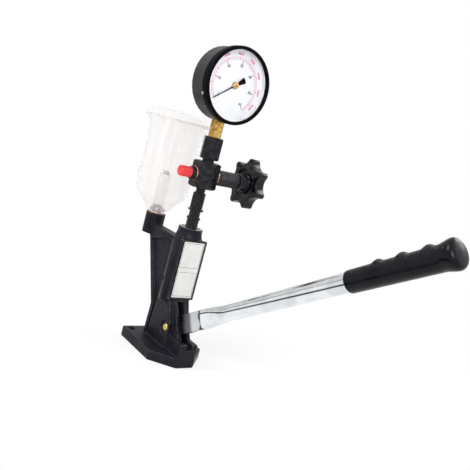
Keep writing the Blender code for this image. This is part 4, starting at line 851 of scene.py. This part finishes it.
def makeDialPrint():
    place = dialFace @ Matrix.Translation((0, 0, dialValues["face"]))
    for name, spec in dialScales.items():
        shape = bmesh.new()
        for radius in spec["arcs"]:
            arcMesh(shape, radius)
        for number in range(0, spec["top"] + 1, spec["minor"]):
            turn = dialTurn(number / spec["top"])
            major = number % spec["step"] == 0
            low, high, width = spec["longTick" if major else "shortTick"]
            spin = Matrix.Rotation(-turn, 4, "Z")
            addBox(shape, (-width / 2, low, 0), (width / 2, high, dialValues["ink"]), spin)
            if major and (number or spec["zero"]):
                numberMesh(shape, number, turn, spec)
        addPiece(name, finishMesh(shape), spec["finish"], "base", (), place)


makeDialPrint()
print("dial printed")


pointerValues = dict(
    bore=0.0021, disc=0.0042, discSteps=12, tipHalf=0.00035, rootHalf=0.0008,
    waistHalf=0.0016, tail=0.016, tailHalf=0.0042, tailBulge=0.00063,
    edge=0.0001, edgeSpan=0.001,  # where it is narrower than the span, its edge is drawn in less
)


def pointerSide(reach):
    spec = pointerValues
    disc, steps = spec["disc"], spec["discSteps"]
    root = asin(spec["rootHalf"] / disc)
    waist = pi - asin(spec["waistHalf"] / disc)
    turns = [root + (waist - root) * k / steps for k in range(steps + 1)]
    side = [(disc * sin(turn), disc * cos(turn)) for turn in turns]
    return [(spec["tipHalf"], reach - spec["tipHalf"]), *side, (spec["tailHalf"], -spec["tail"])]


def makePointer():
    spec = pointerValues
    low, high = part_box("gauge_pointer")
    reach = max(hypot(vert.co.y, vert.co.z - gaugeCentre[2])
                for vert in cadNodes["gauge_pointer"].data.vertices)
    side = pointerSide(reach)
    end = -spec["tail"] - spec["tailBulge"]
    rim = [(0, reach), *side, (0, end), *((-x, y) for x, y in reversed(side))]
    bore = [Vector(point).normalized() * spec["bore"] for point in rim]
    edge = spec["edge"]
    top = [(x * (1 - edge / max(abs(x), spec["edgeSpan"])), y) for x, y in rim]
    shape = bmesh.new()
    rings = [[shape.verts.new((x, y, height)) for x, y in outline] for outline, height in (
        (bore, low.x), (rim, low.x), (rim, high.x - edge), (top, high.x), (bore, high.x))]
    skin(shape, rings + rings[:1])
    addPiece("gaugePointer", finishMesh(shape), "bezel paint", "pointer", ("gauge_pointer",),
             dialFace @ Matrix.Rotation(-dialTurn(0), 4, "Z"))


makePointer()
print("pointer done")


# Lengths of the cup and its lid are in millimetres
cupValues = dict(
    height=141.0, foot=1.8, rim=44.8, wall=2.0, floor=2.5, floorGap=0.5,
    floorInset=1.5, bore=7.0, curveSteps=4, steps=176, creaseAngle=60,
    # outside from foot to rim: share of its height and share of its rim radius
    outlineShares=((0, 0.29), (0.037, 0.388), (0.106, 0.569), (0.163, 0.728), (0.217, 0.83),
        (0.26, 0.877), (0.353, 0.895), (0.418, 0.882), (0.476, 0.866), (0.576, 0.848),
        (0.684, 0.862), (0.777, 0.875), (0.885, 0.915), (0.95, 0.971), (1, 1)),
)
lidValues = dict(
    radius=47.0, skirt=45.4, rim=141.3, plate=149.1, bottom=137.1, steps=176,
    dome=3.2, domeSteps=8, domeShare=0.96, shoulder=(1.2, 1.4), shoulderRound=0.6,
    bead=0.7, beadTop=2.4, beadLow=2.0, beadRound=0.3, skirtRound=0.2,
)


def smoothPath(points, steps):
    path = []
    for i in range(len(points) - 1):
        a, b, c, d = (Vector(points[min(max(k, 0), len(points) - 1)]) for k in (i - 1, i, i + 1, i + 2))
        for k in range(steps):
            t = k / steps
            path.append(0.5 * ((2 * b) + (c - a) * t + (2 * a - 5 * b + 4 * c - d) * t ** 2
                               + (3 * b - a - 3 * c + d) * t ** 3))
    path.append(Vector(points[-1]))
    return path


def makeCup():
    spec = cupValues
    foot, bore = spec["foot"], spec["bore"]
    outline = [(spec["rim"] * r, foot + (spec["height"] - foot) * h) for h, r in spec["outlineShares"]]
    outer = smoothPath(outline, spec["curveSteps"])
    inner = []
    for i, point in enumerate(outer):
        along = (outer[min(i + 1, len(outer) - 1)] - outer[max(i - 1, 0)]).normalized()
        inner.append(point + Vector((-along.y, along.x)) * spec["wall"])
    floor = foot + spec["floor"]
    inner = [point for point in inner if point.y > floor + spec["floorGap"]]
    inner[-1].y = spec["height"]
    bottom = [(bore, foot), (bore, floor), (inner[0].x - spec["floorInset"], floor)]
    path = outer[::-1] + [Vector(point) for point in bottom] + inner
    mesh = spunMesh([point / 1000 for point in path], spec["steps"], True)
    addPiece("reservoirCup", mesh, "milky plastic", "base", ("reservoir_cup",), bossAxis,
             spec["creaseAngle"])


def makeLid():
    spec = lidValues
    radius, plate, bottom = spec["radius"], spec["plate"], spec["bottom"]
    beadRadius, soft = radius - spec["bead"], spec["beadRound"]
    shares = [k / spec["domeSteps"] * spec["domeShare"] for k in range(spec["domeSteps"] + 1)]
    dome = [(radius * share, plate + spec["dome"] * (1 - share * share), 0) for share in shares]
    inset, drop = spec["shoulder"]
    edge = [(radius - inset, plate, spec["shoulderRound"]), (radius, plate - drop, spec["shoulderRound"]),
            (radius, bottom + spec["beadTop"], soft), (beadRadius, bottom + spec["beadLow"], soft),
            (beadRadius, bottom, soft), (spec["skirt"], bottom, spec["skirtRound"]),
            (spec["skirt"], spec["rim"], 0), (0, spec["rim"], 0)]
    spunPiece("reservoirLid", "reservoir_lid", "clear_plastic", "milky plastic", bossAxis, spec["steps"],
              dome + edge, "lid")


makeCup()
makeLid()
print("reservoir done")


# The finishes of nodes that show as they come, and are plain steel unless they are named here
keptFinishes = {
    "black oxide": ("retaining_ring_outlet_side", "retaining_ring_knob_side", "barrel_locating_screw",
                    "holder_union_nut", "valve_block", "valve_bonnet", "gauge_union_nut"),
    "case paint": ("gauge_case",),
    "blade zinc with painted shade": ("lever_blade",),
    "packing fibre": ("gland_packing",),
    "copper": ("gauge_seal",),
    "brass": ("gauge_stem", "sector_gear", "movement_frame", "bourdon_tube"),
    "dial enamel": ("gauge_dial", "dial_spacer"),
    "milky plastic": ("strainer_tube",),
}
edgeValues = dict(creaseAngle=radians(32), segments=3)
bevelWidths = {"valve_block": 0.0007, "valve_bonnet": 0.0005, "gauge_union_nut": 0.0006,
               "holder_union_nut": 0.0005, "knob_nut": 0.0003, "lever_blade": 0.0009, "gauge_stem": 0.0006}


def finishKeptNodes():
    finishOf = {name: finish for finish, names in keptFinishes.items() for name in names}
    for name in set(cadNodes) - replacedNodes:
        mesh = cadNodes[name].data
        dress(mesh, finishOf.get(name, "plain steel"))
        mesh.set_sharp_from_angle(angle=edgeValues["creaseAngle"])
    for name, width in bevelWidths.items():
        bevel = cadNodes[name].modifiers.new("edge", "BEVEL")
        bevel.width = width
        bevel.segments = edgeValues["segments"]
        bevel.limit_method = "ANGLE"
        bevel.angle_limit = edgeValues["creaseAngle"]
        bevel.harden_normals = True


springs = {
    "plungerSpring": dict(node="plunger_spring", joint="plunger_stroke", travel=0.0096),
    "deliverySpring": dict(node="delivery_valve_spring", joint="delivery_valve_lift", travel=0.0012),
}


def makeSprings():
    for name, spec in springs.items():
        mesh = cadNodes[spec["node"]].data.copy()
        piece = addPiece(name, mesh, "plain steel", "base", (spec["node"],))
        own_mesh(piece)


makeSprings()
print("springs done:", len(springs))
finishKeptNodes()
print("kept nodes finished")


studio = dict(
    floorHalf=4.0, floorColour=(0.86, 0.86, 0.86), speckColour=(0.8, 0.8, 0.8), specks=0.04,
    speckScale=40.0,
    # how white the floor looks under the object and from there outwards
    whiteNear=0.7, whiteFar=1.0, fadeStart=0.1, fadeEnd=0.42,
    # what mirrored rays meet: a pale room, a little dimmer low down behind the object, with a dark line at
    # the horizon and a dark strip on the floor beside the object
    worldLight=0.6, front=(0.79, -0.61, 0.0), backBand=(0.1, -0.4), lowBand=(0.6, 0.1),
    dimBack=0.8, lineLevel=0.03, lineHalf=0.03, lineCore=0.6, lineDark=0.25,
    stripMiddle=-0.262, stripHalf=0.075, stripCore=0.7, stripDark=0.93,
    stripColour=(0.05, 0.05, 0.05),
    lamps=(
        # name, place, target, size, watts
        ("key lamp", (-0.35, -1.3, 1.25), (0, 0, 0.2), 0.7, 18),
        ("fill lamp", (1.45, -0.75, 0.95), (0.1, 0, 0.2), 0.6, 16),
        ("back lamp", (0.3, 1.3, 1.2), (0.1, 0, 0.2), 0.8, 11),
    ),
)


def makeFloor():
    spec, half = studio, studio["floorHalf"]
    mesh = bpy.data.meshes.new("floor")
    corners = [(x * half, y * half, 0) for x, y in ((-1, -1), (1, -1), (1, 1), (-1, 1))]
    mesh.from_pydata(corners, [], [(0, 1, 2, 3)])
    floor = addObject("floor", mesh)
    material = bpy.data.materials.new("pale floor")
    material.use_nodes = True
    mesh.materials.append(material)
    tree = material.node_tree
    tree.nodes.clear()
    path = addNode(tree, "LightPath").outputs
    coords = objectCoords(tree)
    side = addNode(tree, "SeparateXYZ", {0: coords}).outputs["Y"]
    offStrip = mathNode(tree, "ABSOLUTE", mathNode(tree, "SUBTRACT", side, spec["stripMiddle"]))
    strip = between(tree, offStrip, spec["stripHalf"], spec["stripHalf"] * spec["stripCore"], 0.0,
                    spec["stripDark"])
    mirrored = mathNode(tree, "GREATER_THAN", path["Is Glossy Ray"], path["Transmission Depth"])
    strip = mathNode(tree, "MULTIPLY", strip, mirrored)
    paper = addNode(tree, "TexNoise", {"Scale": spec["speckScale"]}).outputs[0]
    specks = mathNode(tree, "MULTIPLY", paper, spec["specks"])
    colour = mixColour(tree, specks, spec["floorColour"], spec["speckColour"])
    colour = mixColour(tree, strip, colour, spec["stripColour"])
    diffuse = addNode(tree, "BsdfDiffuse", {"Color": colour})
    shown = mathNode(tree, "SUBTRACT", 1.0, strip)
    glow = addNode(tree, "Emission", {"Color": (1, 1, 1, 1), "Strength": shown})
    through = mathNode(tree, "MAXIMUM", path["Is Glossy Ray"], path["Is Transmission Ray"])
    seen = mathNode(tree, "MAXIMUM", path["Is Camera Ray"], through)
    away = addNode(tree, "VectorMath", {0: coords}, operation="LENGTH").outputs["Value"]
    white = between(tree, away, spec["fadeStart"], spec["fadeEnd"], spec["whiteNear"],
                    spec["whiteFar"])
    mixed = addNode(tree, "MixShader", {0: mathNode(tree, "MULTIPLY", seen, white)})
    plug(tree, mixed.inputs[1], diffuse.outputs[0])
    plug(tree, mixed.inputs[2], glow.outputs[0])
    plug(tree, addNode(tree, "OutputMaterial").inputs[0], mixed.outputs[0])


def makeWorld():
    spec = studio
    world = bpy.data.worlds.new("studio")
    bpy.context.scene.world = world
    world.use_nodes = True
    tree = world.node_tree
    tree.nodes.clear()
    direction = addNode(tree, "TexCoord").outputs["Generated"]
    level = addNode(tree, "SeparateXYZ", {0: direction}).outputs["Z"]
    behind = between(tree, dot(tree, direction, spec["front"]), *spec["backBand"])
    lowBack = mathNode(tree, "MULTIPLY", behind, between(tree, level, *spec["lowBand"]))
    room = between(tree, lowBack, 0.0, 1.0, 1.0, spec["dimBack"])
    offLine = mathNode(tree, "ABSOLUTE", mathNode(tree, "SUBTRACT", level, spec["lineLevel"]))
    line = between(tree, offLine, spec["lineHalf"] * spec["lineCore"], spec["lineHalf"],
                   spec["lineDark"], 1.0)
    mirrored = mathNode(tree, "MULTIPLY", room, line)
    path = addNode(tree, "LightPath").outputs
    through = mathNode(tree, "GREATER_THAN", path["Transmission Depth"], 0.5)
    clear = mathNode(tree, "MAXIMUM", path["Is Camera Ray"], through)
    glossy = mathNode(tree, "MULTIPLY", path["Is Glossy Ray"], mathNode(tree, "SUBTRACT", 1.0, clear))
    plain = between(tree, clear, 0.0, 1.0, spec["worldLight"], 1.0)
    kept = mathNode(tree, "MULTIPLY", plain, mathNode(tree, "SUBTRACT", 1.0, glossy))
    strength = mathNode(tree, "MULTIPLY_ADD", mirrored, glossy, kept)
    light = addNode(tree, "Background", {"Color": (1, 1, 1, 1), "Strength": strength})
    plug(tree, addNode(tree, "OutputWorld").inputs[0], light.outputs[0])


def makeLamps():
    for name, place, target, size, watts in studio["lamps"]:
        lamp = bpy.data.lights.new(name, "AREA")
        lamp.shape = "SQUARE"
        lamp.size = size
        lamp.energy = watts
        holder = addObject(name, lamp)
        holder.location = place
        holder.rotation_euler = (Vector(target) - Vector(place)).to_track_quat("-Z", "Y").to_euler()


cameraValues = dict(
    azimuth=52.6, elevation=8.6, roll=14.7, distance=0.7651, target=(0.0432, 0, 0.1966),
    sensor=36, lens=45.13, shift=(0.048, -0.028), clipStart=0.01,
)


def makeCamera():
    spec = cameraValues
    azimuth, elevation, roll = (radians(spec[key]) for key in ("azimuth", "elevation", "roll"))
    lens = bpy.data.cameras.new("camera")
    lens.sensor_width = spec["sensor"]
    lens.lens = spec["lens"]
    lens.shift_x, lens.shift_y = spec["shift"]
    lens.clip_start = spec["clipStart"]
    camera = addObject("camera", lens)
    camera.matrix_world = (
        Matrix.Translation(spec["target"]) @ Matrix.Rotation(azimuth, 4, "Z")
        @ Matrix.Rotation(quarter - elevation, 4, "X") @ Matrix.Rotation(roll, 4, "Z")
        @ Matrix.Translation((0, 0, spec["distance"])))
    bpy.context.scene.camera = camera


makeFloor()
makeWorld()
makeLamps()
makeCamera()
bpy.context.scene.view_settings.view_transform = "Standard"
print("studio set")
